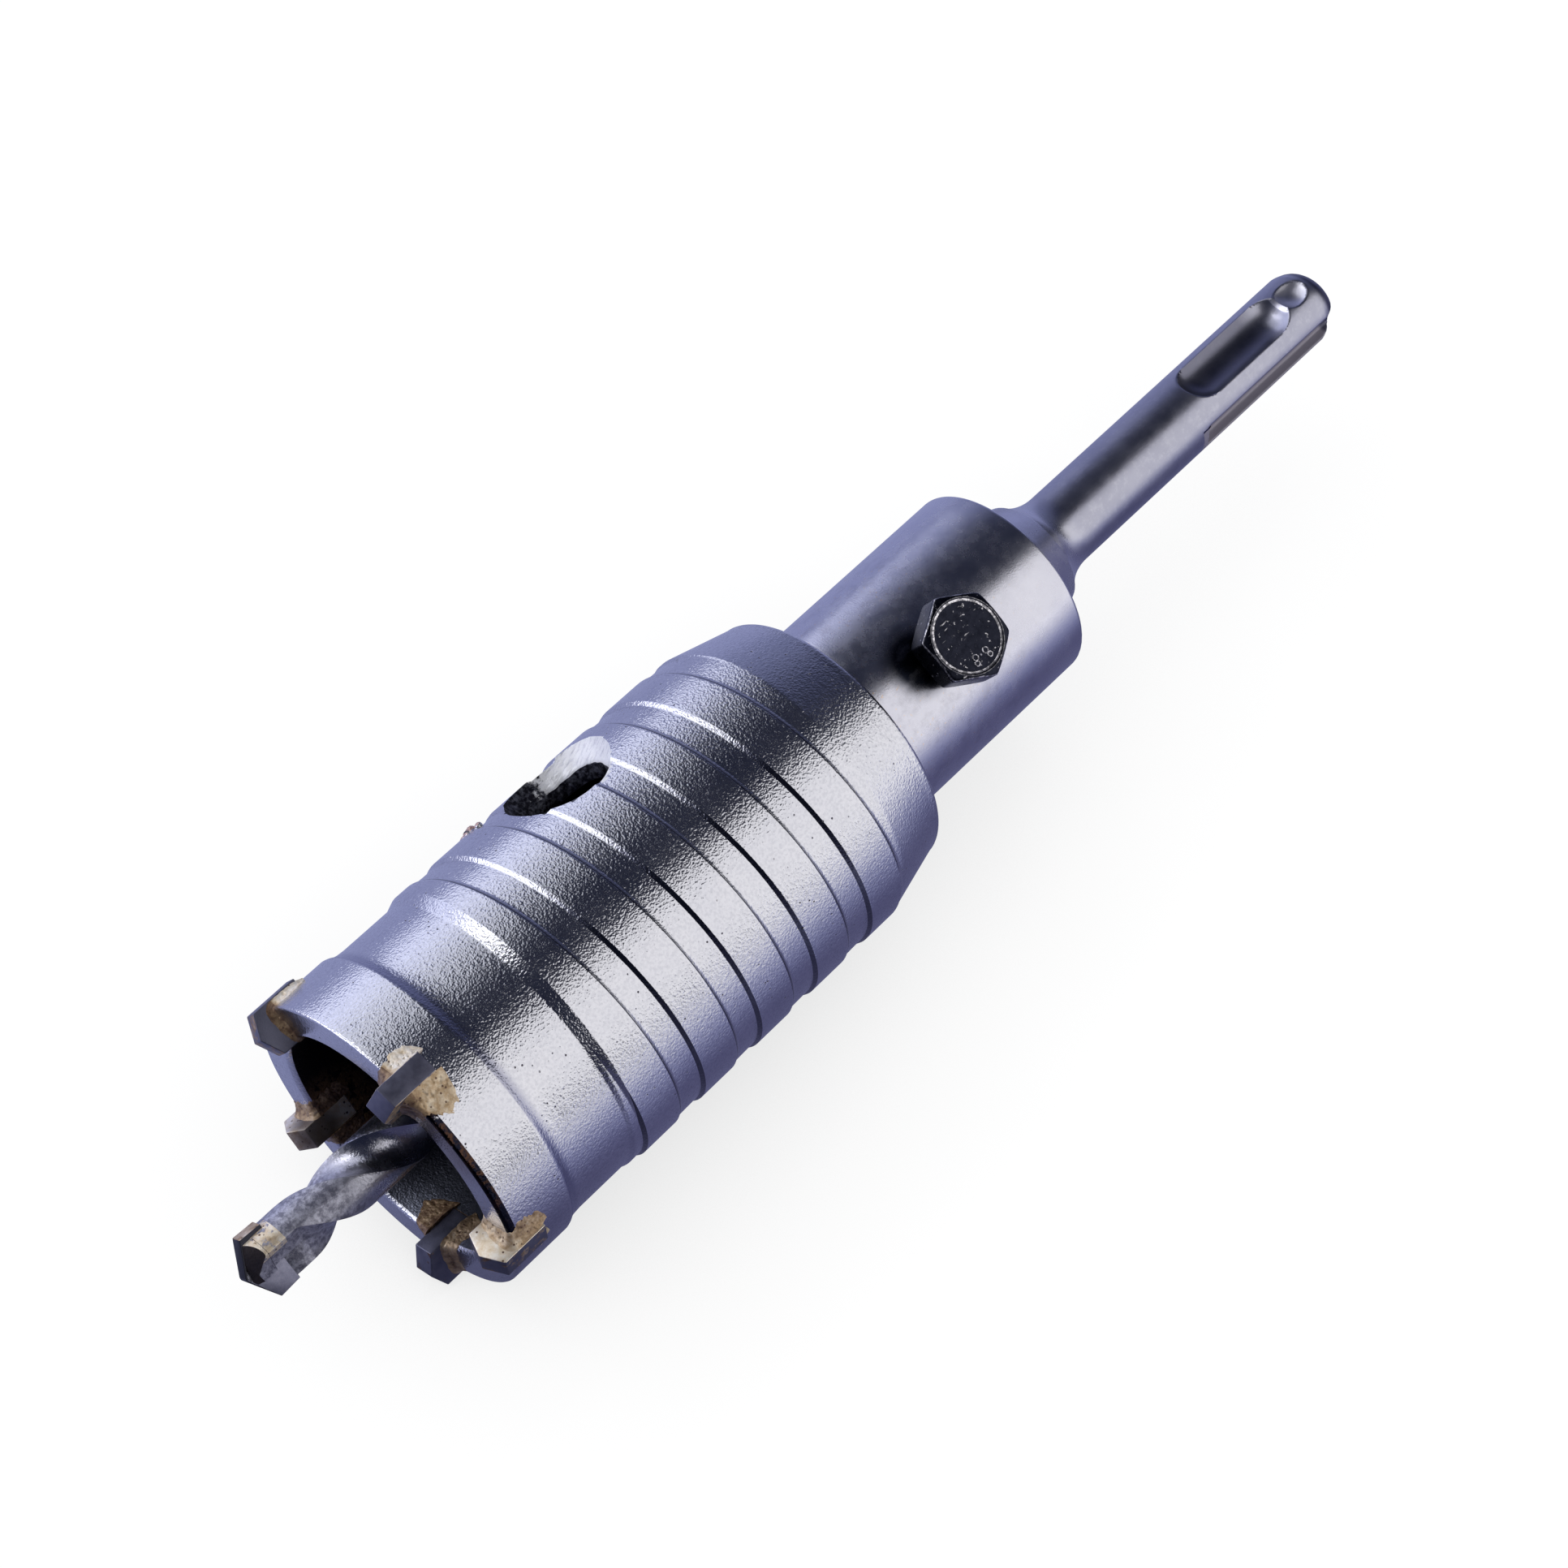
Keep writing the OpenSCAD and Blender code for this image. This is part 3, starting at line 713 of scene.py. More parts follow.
def make_tooth(k):
    tooth = from_node("cutting_tooth_%d" % (k + 1), "carbide_tooth_%d" % (k + 1), 0.1)

    def film(normal):
        n = turned(-tooth_angle(k)) @ normal
        if abs(n.y) > 0.7:
            return FILM[k][0 if n.y > 0 else 1]
        return FILM[k][2 if n.x < -0.6 else 3]

    paint(tooth, "film", lambda c, n: film(n)[0])
    paint(tooth, "tone", lambda c, n: film(n)[1])
    return tooth


def wall_outline():
    """Stations round the cup's wall beside a tooth, from the bore over the rim to the collar, as
    (x, radius, normal along x, normal outward, place from 0 to 3)."""
    edge, rim = 0.5, RIM_ROUND
    turns = [(t, sin(radians(90 * t)), cos(radians(90 * t))) for t in np.linspace(0, 1, 8)]
    stations = [(x, BORE_R, 0, -1, (4.9 - x) / 4.3) for x in np.arange(4.9, 0.6, -0.1)]
    stations += [(edge - edge * s, BORE_R + edge - edge * c, -s, -c, 1 + t * 0.2) for t, s, c in turns]
    stations += [(0, r, -1, 0, 1.2 + (r - 16.1) / 3.4 * 0.6) for r in np.arange(16.1, 19.5, 0.1)]
    stations += [(rim - rim * c, COLLAR_R - rim + rim * s, -c, s, 1.8 + t * 0.2) for t, s, c in turns]
    return stations + [(x, COLLAR_R, 0, 1, 2 + (x - 0.4) / 4.5) for x in np.arange(0.5, 4.9, 0.1)]


def bead_size(at, reach, swell, seed):
    """Width and height of a bead at a place of the wall's outline."""
    shape = ramp(at, [(0, 0.15), (0.15, 0.5), (1, 0.55), (1.8, 0.72), (2.1, 0.80), (2.45, 1.0), (2.7, 0.93),
                      (2.85, 0.62), (2.93, 0.3), (3, 0.06)])
    high = ramp(at, [(0, 0.05), (0.3, 0.22), (1, 0.25), (1.4, 0.9), (1.7, 1.0), (2, 0.7), (2.7, 0.62),
                     (3, 0.15)])
    swollen = 1 + (swell - 1) * clamp(1.5 - at, 0, 1) * clamp(at * 2, 0, 1)
    wave = noise.noise(Vector((at * 2.3, seed, 0.5))) * 0.35
    wave += noise.noise(Vector((at * 9, seed, 3.5))) * 0.16
    width = max(0.15, reach * (shape * swollen) * (1 + wave))
    if at < 1.5:
        width = min(width, 1.6 * swollen)
    return width, high * swollen


def make_bead(name, side, reach, swell, seed):
    """Braze fillet on one flank of a tooth, with the uneven edge and the pits of a torch-made one."""
    n, rings = 26, []
    for x, r, nx, nr, at in wall_outline():
        width, high = bead_size(at, reach, swell, seed)
        profile = []
        for t in (j / (n - 1) for j in range(n)):
            h = high * (1 - t) ** 2.6 + 0.13 * (1 - t ** 5) - 0.02
            y = side * (TOOTH_T / 2 - 0.03 + width * t)
            spot = Vector((x, y, r)) + Vector((seed * 7.1, 0, 0))
            h += 0.05 * noise.noise(spot * 1.6) + 0.035 * noise.noise(spot * 4.5)
            pit = clamp((noise.noise(spot * 2.9 + Vector((0, 0, 9))) - 0.28) * 4, 0, 1)
            h = max(h - 0.22 * pit * min(1, 4 * t) * (1 - t), -0.03)
            profile.append((t, h if t < 1 else -0.04))
        profile += [(t, -0.2) for t in (1, 0.5, 0)]
        ring = []
        for t, h in profile:
            y = side * (TOOTH_T / 2 - 0.03 + width * t)
            ring.append((x + nx * h, y, sqrt((r + nr * h) ** 2 - y * y)))
        rings.append(ring)
    return loft(name, rings, smooth=60)


def braze_tone(k, centre):
    """How bright the braze is at a place on tooth k, from 0, burnt, to 1, clean."""
    local = turned(-tooth_angle(k)) @ centre
    on_collar, on_rim, in_bore = BRAZE_TONES[k][0 if local.y > 0 else 1]
    if radius(local) < BORE_R + 0.5 and local.x > 0.3:
        return in_bore
    if local.x < 0.35 or radius(local) < COLLAR_R - 0.5:
        return on_rim
    return on_rim + (on_collar - on_rim) * clamp(local.x / 1.2, 0, 1)


def make_braze(k):
    """The two beads of a tooth with the layer in its seat."""
    reach_up, reach_down = BRAZE_REACH[k]
    fillet = make_bead("tooth_fillet_%d" % (k + 1), -1, reach_down, BORE_SWELL[k], 3.7 + k)
    other = make_bead("bead", 1, reach_up, BORE_SWELL[k], 11.3 + k)
    for bead in (fillet, other):
        bead.data.transform(turned(tooth_angle(k)))
    layer = block("layer", (0.1, -SEAT_HALF, BORE_R - 0.05), (SEAT_L + SEAT_GAP, SEAT_HALF, COLLAR_R + 0.12),
                  tooth_angle(k))
    join(fillet, [other, layer], smooth=60)
    paint(fillet, "tone", lambda c, n: braze_tone(k, c))
    return fillet


# Clamp bolt

def head_side(theta):
    """Radius of the hexagon, its upright edges slightly rounded."""
    full = HEAD_AF / 2 / cos((theta + pi / 6) % (pi / 3) - pi / 6)
    return full - 0.10 * clamp((full / (HEAD_AF / 2) - 1.08) / 0.0747, 0, 1) ** 2


def head_top(rho):
    """Height of the chamfered head at a radius."""
    return BOLT_TOP - max(0, rho - CHAMFER_R) * 0.5


def bolt_outline(theta):
    """Outline of the bolt at one angle, as (radius, height) from its foot to the middle of its head."""
    points = [(0.01, BOLT_FOOT), (2.35, BOLT_FOOT), (STEM_R, BOLT_FOOT + 0.6)]
    for z in np.arange(BOLT_FOOT + 1.0, BOLT_SEAT - 0.25, 0.25):
        points.append((STEM_R - THREAD_DEPTH * (round((z - BOLT_FOOT) * 4) % 4 in (0, 1)), z))
    points += [(STEM_R, BOLT_SEAT - 0.15), (STEM_R, BOLT_SEAT), (4.6, BOLT_SEAT), (4.75, BOLT_SEAT + 0.08)]
    side = head_side(theta)
    rise = 0.35 * (side - HEAD_AF / 2)
    points += [(side - 0.12, BOLT_SEAT + 0.1 + rise), (side, BOLT_SEAT + 0.22 + rise)]
    foot, height = BOLT_SEAT + 0.4, head_top(side) - 0.2 - BOLT_SEAT - 0.4
    points += [(side, foot + height * part) for part in (0.12, 0.5, 0.88)]
    points += [(side, head_top(side) - 0.12), (side - 0.04, head_top(side) - 0.04),
               (side - 0.12, head_top(side - 0.12)),
               ((side + CHAMFER_R) / 2, head_top((side + CHAMFER_R) / 2))]
    return points + [(rho, BOLT_TOP - drop) for rho, drop in (
        (4.80, 0.05), (4.70, 0), (4.58, 0), (4.46, 0.07), (4.2, 0.10), (3.4, 0.11), (2.4, 0.12), (1.2, 0.12),
        (0.01, 0.12))]


def add_ring(bm, ring_r, tube_r, x, place):
    """A raised ring round (x, 0, 0) of a place, which is a matrix in millimetres."""
    n, m = 28, 10
    verts = []
    for a in circle(n):
        for b in circle(m):
            reach = ring_r + tube_r * cos(b)
            point = Vector((x + reach * cos(a), reach * sin(a), tube_r * sin(b)))
            verts.append(bm.verts.new(place @ point * MM))
    for i in range(n):
        for j in range(m):
            bm.faces.new([verts[q] for q in (i * m + j, (i + 1) % n * m + j, (i + 1) % n * m + (j + 1) % m,
                                             i * m + (j + 1) % m)])


def add_grade(bolt):
    """The strength grade on the head, in two raised numerals with a dot between them."""
    with editing(bolt.data) as bm:
        for angle in MARK_ANGLES:
            a = radians(angle)
            spot = Matrix.Translation((BOLT_X + 3.0 * cos(a), 3.0 * sin(a), BOLT_TOP - 0.09))
            for ring_r, x in ((0.30, 0.36), (0.36, -0.36)):
                add_ring(bm, ring_r, 0.10, x, spot @ Matrix.Rotation(a, 4, "Z"))
        a = radians(sum(MARK_ANGLES) / 2)
        dot = Matrix.Translation((BOLT_X * MM + 2.65 * MM * cos(a), 2.65 * MM * sin(a),
                                  (BOLT_TOP - 0.10) * MM))
        bmesh.ops.create_icosphere(bm, subdivisions=2, radius=0.15 * MM, matrix=dot)
        bmesh.ops.recalc_face_normals(bm, faces=bm.faces)
    shade(bolt.data, 40)


def bolt_wear(c, n):
    """How worn the bolt is at a place: most on its numerals, then on its edges and its head's ring."""
    rho = hypot(c.x - BOLT_X, c.y)
    if c.z > BOLT_TOP - 0.09 and rho < 4.4:
        return 1
    if abs(rho - 4.64) < 0.07 and c.z > BOLT_TOP - 0.06:
        return 0.25
    side = head_side(atan2(c.y, c.x - BOLT_X))
    if c.z > BOLT_SEAT + 0.2 and rho > side - 0.16 and abs(c.z - head_top(side)) < 0.10:
        return 0.6
    return 0.75 if c.z > BOLT_SEAT and side > 5.70 and rho > side - 0.2 else 0


def make_bolt():
    """Hexagon bolt with a chamfered, worn head, its strength grade in raised numerals and its thread."""
    columns = [[(BOLT_X + rho * cos(t), rho * sin(t), z) for rho, z in bolt_outline(t)]
               for t in circle(144)]
    bolt = loft("hex_bolt", list(zip(*columns)), smooth=30)
    add_grade(bolt)
    paint(bolt, "wear", bolt_wear)
    bolt.data.transform(turned(BOLT_ANGLE))
    return bolt


# Materials

class Nodes:
    """Builds the nodes of a material or of the world."""

    def __init__(self, tree, coordinates):
        self.tree = tree
        self.place = self.node("ShaderNodeTexCoord").outputs[coordinates]

    def give(self, socket, value):
        """Gives a socket a link, a number or a colour."""
        if isinstance(value, bpy.types.NodeSocket):
            self.tree.links.new(value, socket)
        else:
            socket.default_value = (*value, 1) if socket.type == "RGBA" else value

    def node(self, kind, inputs=None, **values):
        made = self.tree.nodes.new(kind)
        for key, value in values.items():
            setattr(made, key, value)
        for key, value in (inputs or {}).items():
            self.give(made.inputs[key], value)
        return made

    def mix(self, factor, a, b):
        return self.node("ShaderNodeMix", {"Factor": factor, 6: a, 7: b}, data_type="RGBA").outputs[2]

    def math(self, operation, a, b):
        return self.node("ShaderNodeMath", {0: a, 1: b}, operation=operation).outputs[0]

    def times(self, a, b):
        return self.math("MULTIPLY", a, b)

    def plus(self, a, b):
        return self.math("ADD", a, b)

    def inverse(self, a):
        return self.math("SUBTRACT", 1.0, a)

    def along(self, axis):
        """Position along an axis, in metres in a material."""
        return self.node("ShaderNodeSeparateXYZ", {0: self.place}).outputs[axis]

    def span(self, value, low, high, to=(0.0, 1.0), kind="SMOOTHSTEP"):
        """Goes from one value at low to another at high."""
        inputs = {"Value": value, "From Min": low, "From Max": high, "To Min": to[0], "To Max": to[1]}
        return self.node("ShaderNodeMapRange", inputs, interpolation_type=kind).outputs[0]

    def camera_ray(self):
        return self.node("ShaderNodeLightPath").outputs["Is Camera Ray"]


class Shader(Nodes):
    """Builds a material's nodes round its surface."""

    def __init__(self, name):
        self.material = bpy.data.materials.new(name)
        self.material.use_nodes = True
        super().__init__(self.material.node_tree, "Object")
        self.surface = self.tree.nodes["Principled BSDF"]

    def set(self, name, value):
        self.give(self.surface.inputs[name], value)

    def noise(self, size, detail, rough, stretch=(1, 1, 1)):
        """Noise whose features are about size millimetres across."""
        place = self.node("ShaderNodeMapping", {"Vector": self.place, "Scale": stretch}).outputs["Vector"]
        inputs = {"Vector": place, "Scale": 1 / (size * MM), "Detail": detail, "Roughness": rough}
        return self.node("ShaderNodeTexNoise", inputs).outputs["Fac"]

    def steps(self, value, stops):
        """Maps value through stops of (position, grey or colour)."""
        made = self.node("ShaderNodeValToRGB", {"Fac": value})
        scale = made.color_ramp
        while len(scale.elements) < len(stops):
            scale.elements.new(0.5)
        for element, (position, colour) in zip(scale.elements, stops):
            element.position = position
            element.color = (*colour, 1) if isinstance(colour, tuple) else (colour, colour, colour, 1)
        return made.outputs["Color"]

    def spots(self, spacing, size):
        """Round spots of a radius, scattered about spacing millimetres apart."""
        made = self.node("ShaderNodeTexVoronoi", {"Vector": self.place, "Scale": 1 / (spacing * MM)})
        return self.steps(made.outputs["Distance"], [(size / spacing * 0.6, 1.0), (size / spacing, 0.0)])

    def near(self, place, low, high):
        """1 within low millimetres of a place, falling to 0 at high."""
        made = self.node("ShaderNodeVectorMath", {0: self.place, 1: [c * MM for c in place]},
                         operation="DISTANCE")
        return self.inverse(self.span(made.outputs["Value"], low * MM, high * MM))

    def zone(self, name):
        """A value painted on the faces."""
        return self.node("ShaderNodeAttribute", attribute_name=name).outputs["Fac"]

    def bump(self, height, strength, distance, under=None):
        """A normal raised by height, over the normal under it."""
        inputs = {"Height": height, "Strength": strength, "Distance": distance * MM}
        if under is not None:
            inputs["Normal"] = under
        return self.node("ShaderNodeBump", inputs).outputs["Normal"]


def braze_metal(s, tone):
    """Colour of braze metal: burnt brown where tone is 0, golden at 0.5 and bright beige at 1."""
    uneven = s.plus(tone, s.times(s.math("SUBTRACT", s.noise(1.1, 4.0, 0.65), 0.5), 1.1))
    colour = s.steps(uneven, [
        (0.0, (0.055, 0.030, 0.022)), (0.25, (0.19, 0.11, 0.06)), (0.5, (0.50, 0.35, 0.20)),
        (0.75, (0.80, 0.67, 0.49)), (1.0, (0.96, 0.90, 0.80))])
    return s.mix(s.spots(0.75, 0.16), colour, (0.13, 0.07, 0.04))


def bore_colour_and_shade(s):
    """Dull steel, blackened on the +Y side by painted shade, with burnt flux behind the lowest tooth."""
    dull = s.mix(s.noise(2.0, 4.0, 0.65), (0.10, 0.11, 0.15), (0.26, 0.27, 0.33))
    # Painted shade: blackens the bore's +Y side
    dull = s.mix(s.span(s.along("Y"), -0.002, 0.008), dull, (0.015, 0.014, 0.016))
    flux = s.times(s.near(FLUX_AT, 2.5, 7.0), s.steps(s.noise(1.2, 4.0, 0.65), [(0.42, 0.0), (0.52, 0.9)]))
    return s.mix(flux, dull, (0.20, 0.12, 0.06))


def add_rim_stains(s, tone):
    """Brown round the front tooth's foot and black dirt, rusty near the tooth, along the rim."""
    brown = s.times(s.near(BROWN_AT, 3.0, 8.0), s.span(s.along("X"), 0.0009, 0.0003))
    tone = s.mix(s.times(brown, 0.75), tone, (0.17, 0.12, 0.10))
    dirt = s.plus(s.zone("rim_dirt"), s.times(s.noise(1.6, 5.0, 0.7), 0.9))
    dirt = s.steps(dirt, [(0.95, 0.0), (1.05, 1.0)])
    rust = s.times(s.near(RUST_AT, 4.0, 12.0), s.steps(s.noise(0.9, 3.0, 0.6), [(0.45, 0.0), (0.6, 1.0)]))
    return s.mix(dirt, tone, s.mix(rust, (0.010, 0.011, 0.020), (0.06, 0.032, 0.022)))


def blasted_steel():
    """Bead-blasted steel: fine orange peel with rare dark pits. The side hole's wall is torn black and
    partly ground bright, and the bore is dull."""
    s = Shader("blasted_steel")
    wall, bore = s.zone("hole_wall"), s.zone("bore")
    edge = s.plus(s.along("X"), s.times(s.math("SUBTRACT", s.noise(1.2, 4.0, 0.65), 0.5), 0.009))
    bright = s.times(s.zone("ground"), s.span(edge, 0.0400, 0.0415))
    s.set("Metallic", s.inverse(s.math("MAXIMUM", s.times(bright, 0.75), s.times(s.zone("spatter"), 0.8))))

    grain = s.noise(0.34, 1.0, 0.5)
    patches = s.noise(7, 3.0, 0.6)
    rare = s.steps(s.noise(5.0, 2.0, 0.5), [(0.50, 0.0), (0.60, 1.0)])
    pits = s.times(s.spots(1.1, 0.13), rare)
    tone = s.mix(patches, (0.54, 0.545, 0.60), (0.63, 0.63, 0.67))
    tone = s.mix(s.steps(grain, [(0.30, 0.34), (0.60, 0.0)]), tone, (0.36, 0.365, 0.42))
    tone = s.mix(pits, tone, (0.07, 0.06, 0.07))
    tone = s.mix(bore, tone, bore_colour_and_shade(s))
    lump = s.mix(s.noise(0.8, 3.0, 0.6), (0.42, 0.24, 0.20), (0.80, 0.58, 0.52))
    tone = add_rim_stains(s, s.mix(s.zone("spatter"), tone, lump))
    # Painted shade: a dark band on the slope behind the collar, from x 8.35 to 10.4 mm
    collar_slope_shade = s.times(s.span(s.along("X"), 0.00835, 0.00860), s.inverse(s.span(s.along("X"), 0.0090, 0.0104)))
    tone = s.mix(s.times(collar_slope_shade, 0.60), tone, (0.21, 0.215, 0.32))
    # Painted shade: darkens the spiral's flanks, the steep one most on the -Y side
    tone = s.mix(s.zone("painted_crease_shade"), tone, (0.02, 0.022, 0.035))

    scratches = s.noise(0.6, 3.0, 0.6, (0.45, 2.0, 0.45))
    torn = s.noise(0.7, 4.0, 0.7)
    dark = s.steps(torn, [(0.45, (0.015, 0.015, 0.022)), (0.78, (0.28, 0.29, 0.34))])
    light = s.steps(scratches, [(0.30, (0.70, 0.70, 0.74)), (0.50, (1.0, 1.0, 1.0))])
    s.set("Base Color", s.mix(wall, tone, s.mix(bright, dark, light)))
    rough = s.mix(bore, s.steps(patches, [(0.3, 0.195), (0.7, 0.24)]), (0.42, 0.42, 0.42))
    s.set("Roughness", s.mix(wall, rough, (0.50, 0.50, 0.50)))
    peel = s.bump(s.mix(wall, grain, s.mix(bright, torn, scratches)), 1.0, 0.052)
    peel = s.bump(s.noise(0.20, 0.0, 0.5), 1.0, 0.026, peel)
    s.set("Normal", s.bump(pits, 0.6, -0.06, peel))
    return s.material


def satin_steel():
    """Turned steel, smoother and darker from the neck on, with dirt specks in front."""
    s = Shader("satin_steel")
    drive = s.zone("drive_floor")
    s.set("Metallic", s.inverse(s.times(drive, 0.7)))
    patches = s.noise(5, 4.0, 0.6)
    shank = s.span(s.along("X"), 0.1100, 0.1150)
    tone = s.mix(patches, (0.50, 0.50, 0.58), (0.60, 0.60, 0.66))
    tone = s.mix(shank, tone, s.mix(patches, (0.31, 0.315, 0.40), (0.43, 0.43, 0.50)))

    body = s.inverse(s.span(s.along("X"), 0.084, 0.104))
    stains = s.steps(s.noise(1.6, 5.0, 0.7), [(0.48, 0.0), (0.75, 0.30)])
    tone = s.mix(s.times(body, stains), tone, (0.16, 0.15, 0.17))
    specks = s.steps(s.noise(0.45, 2.0, 0.6), [(0.66, 0.0), (0.72, 1.0)])
    tone = s.mix(s.times(body, specks), tone, (0.62, 0.52, 0.46))

    flecks = s.steps(s.noise(0.9, 5.0, 0.75), [(0.50, 0.0), (0.75, 0.45)])
    tone = s.mix(s.times(flecks, shank), tone, (0.56, 0.56, 0.62))
    # Painted shade: darkens the locking grooves, fading out towards their ends
    lock_groove_shade = s.times(s.zone("lock_groove_shade"), s.span(s.along("X"), 0.1525, 0.1570, to=(0.75, 0.0)))
    tone = s.mix(lock_groove_shade, tone, (0.10, 0.10, 0.14))
    # Painted highlight: lightens the dimples at the grooves' ends
    tone = s.mix(s.zone("dimple"), tone, (0.72, 0.71, 0.78))
    tone = s.mix(drive, tone, (0.33, 0.31, 0.37))
    # Painted shade: darkens the driving grooves' upper walls and edges
    tone = s.mix(s.zone("drive_edge_shade"), tone, (0.05, 0.05, 0.09))
    # Painted shade: darkens the shank from x 162.8 mm to its end
    tone = s.mix(s.span(s.along("X"), 0.1628, 0.1636), tone, (0.10, 0.10, 0.15))
    # Dirt with painted shadow: a dark streaky smear beside the bolt head
    uneven = s.steps(s.noise(2.0, 4.0, 0.6, (0.7, 1.6, 1.6)), [(0.25, 0.75), (0.50, 1.0)])
    tone = s.mix(s.times(s.near(BOLT_SMEAR_AND_SHADOW_AT, 2.5, 5.4), uneven), tone, (0.015, 0.018, 0.03))
    s.set("Base Color", tone)

    rough = s.steps(s.noise(2.0, 3.0, 0.6), [(0.3, 0.22), (0.7, 0.30)])
    rough = s.plus(rough, s.times(drive, 0.2))
    s.set("Roughness", s.plus(rough, s.times(shank, 0.07)))
    turning = s.bump(s.noise(0.30, 2.0, 0.5, (2.5, 0.22, 0.22)), 0.12, 0.03)
    s.set("Normal", s.bump(s.noise(0.22, 1.0, 0.5), 0.22, 0.03, turning))
    return s.material


def drill_steel():
    """Ground steel of the flutes, grey and grainy towards the tip, with braze on the tip's edges."""
    s = Shader("drill_steel")
    patches = s.noise(2.5, 3.0, 0.6)
    front = s.inverse(s.span(s.along("X"), -0.009, -0.003))
    s.set("Metallic", s.inverse(s.times(front, 0.50)))
    tone = s.mix(patches, (0.42, 0.42, 0.50), (0.60, 0.60, 0.66))
    grainy = s.steps(s.noise(0.75, 4.0, 0.72), [(0.40, (0.10, 0.10, 0.15)), (0.62, (0.50, 0.50, 0.60))])
    tone = s.mix(s.times(front, 0.8), tone, grainy)
    gold = s.times(s.zone("gold"), s.steps(s.noise(0.9, 3.0, 0.6), [(0.34, 0.0), (0.44, 1.0)]))
    tone = s.mix(gold, tone, braze_metal(s, 0.78))
    # Painted shade: near-black, brown in places, on the tip's front faces
    front_shade = s.mix(s.noise(1.5, 3.0, 0.6), (0.012, 0.012, 0.020), (0.06, 0.045, 0.04))
    s.set("Base Color", s.mix(s.zone("wear_and_shade"), tone, front_shade))
    rough = s.steps(patches, [(0.3, 0.20), (0.7, 0.32)])
    s.set("Roughness", s.plus(rough, s.times(front, 0.14)))
    s.set("Normal", s.bump(s.noise(0.30, 2.0, 0.5), 0.7, 0.05))
    return s.material


def carbide():
    """Sintered carbide, with a film of braze on the flanks."""
    s = Shader("carbide")
    s.set("Metallic", 0.75)
    patches = s.noise(1.2, 3.0, 0.6)
    tone = s.mix(patches, (0.085, 0.088, 0.13), (0.20, 0.20, 0.27))
    pale = s.mix(s.noise(0.5, 3.0, 0.6), (0.16, 0.16, 0.23), (0.36, 0.36, 0.46))
    # Painted light: a lighter tone on the tip plate's free side
    tone = s.mix(s.zone("pale"), tone, pale)
    # Painted shade: near-black on the tip plate's front faces and on the side a land backs
    tone = s.mix(s.zone("wear_and_shade"), tone, (0.012, 0.012, 0.018))
    film = s.steps(s.plus(s.zone("film"), s.times(s.noise(1.3, 4.0, 0.6), 0.8)), [(0.62, 0.0), (0.72, 1.0)])
    tone = s.mix(film, tone, braze_metal(s, s.zone("tone")))
    s.set("Base Color", s.mix(s.times(s.near(BURNT_AT, 1.5, 4.5), 0.9), tone, (0.045, 0.028, 0.020)))
    s.set("Roughness", s.steps(patches, [(0.3, 0.34), (0.7, 0.48)]))
    s.set("Normal", s.bump(s.noise(0.18, 3.0, 0.6), 0.35, 0.04))
    return s.material


def braze():
    """Pitted braze metal, bright or burnt as each place is painted."""
    s = Shader("braze")
    s.set("Metallic", 0.30)
    s.set("Base Color", braze_metal(s, s.zone("tone")))
    s.set("Roughness", s.steps(s.noise(0.8, 2.0, 0.5), [(0.3, 0.32), (0.7, 0.55)]))
    s.set("Normal", s.bump(s.noise(0.5, 3.0, 0.6), 0.8, 0.10))
    return s.material


def black_steel():
    """Blackened bolt steel, worn to bare metal along its edges and numerals."""
    s = Shader("black_steel")
    s.set("Metallic", 0.85)
    patches = s.noise(0.8, 4.0, 0.65)
    black = s.steps(patches, [(0.35, (0.004, 0.005, 0.012)), (0.75, (0.018, 0.020, 0.034))])
    bare = s.steps(s.noise(0.45, 4.0, 0.65), [(0.44, 0.0), (0.56, 1.0)])
    wear_and_shade = s.times(s.zone("wear"), s.math("MAXIMUM", bare, 0.25))
    scuffs = s.steps(s.noise(0.60, 4.0, 0.7), [(0.64, 0.0), (0.70, 0.8)])
    scratches = s.steps(s.noise(0.9, 2.0, 0.5, (0.3, 1.6, 1.0)), [(0.70, 0.0), (0.74, 0.6)])
    wear_and_shade = s.math("MAXIMUM", wear_and_shade, s.math("MAXIMUM", scuffs, scratches))
    s.set("Base Color", s.mix(wear_and_shade, black, (0.74, 0.72, 0.76)))
    s.set("Roughness", s.steps(patches, [(0.3, 0.22), (0.7, 0.36)]))
    s.set("Normal", s.bump(s.noise(0.25, 3.0, 0.6), 0.25, 0.04))
    return s.material


# Light, floor and camera

def softbox(name, direction, distance, long_side, length, width, power, colour):
    """A rectangular lamp in a direction from the origin, facing it, with its long side along a vector."""
    data = bpy.data.lights.new(name, "AREA")
    data.shape = "RECTANGLE"
    data.size = length
    data.size_y = width
    data.energy = power
    data.color = colour
    out = Vector(direction).normalized()
    across = Vector(long_side)
    across = (across - out * across.dot(out)).normalized()
    lamp = add_object(name, data)
    lamp.location = out * distance
    lamp.rotation_euler = Matrix((across, out.cross(across), out)).transposed().to_euler()
    lamp.visible_camera = False


def make_world():
    """Dark blue studio with a pale blue haze low on the +Y side. The camera itself sees white."""
    world = bpy.data.worlds.new("studio")
    bpy.context.scene.world = world
    world.use_nodes = True
    s = Nodes(world.node_tree, "Generated")
    side = s.span(s.along("Y"), -0.1, 0.6, kind="LINEAR")
    low = s.span(s.along("Z"), 0.75, 0.35, kind="LINEAR")
    front = s.span(s.along("X"), 0.1, 0.7, to=(1.0, 0.55), kind="LINEAR")
    haze = s.mix(s.times(s.times(side, low), front), (0.015, 0.019, 0.040), (0.38, 0.42, 0.72))
    s.give(s.tree.nodes["Background"].inputs["Color"], s.mix(s.camera_ray(), haze, (1.0, 1.0, 1.0)))


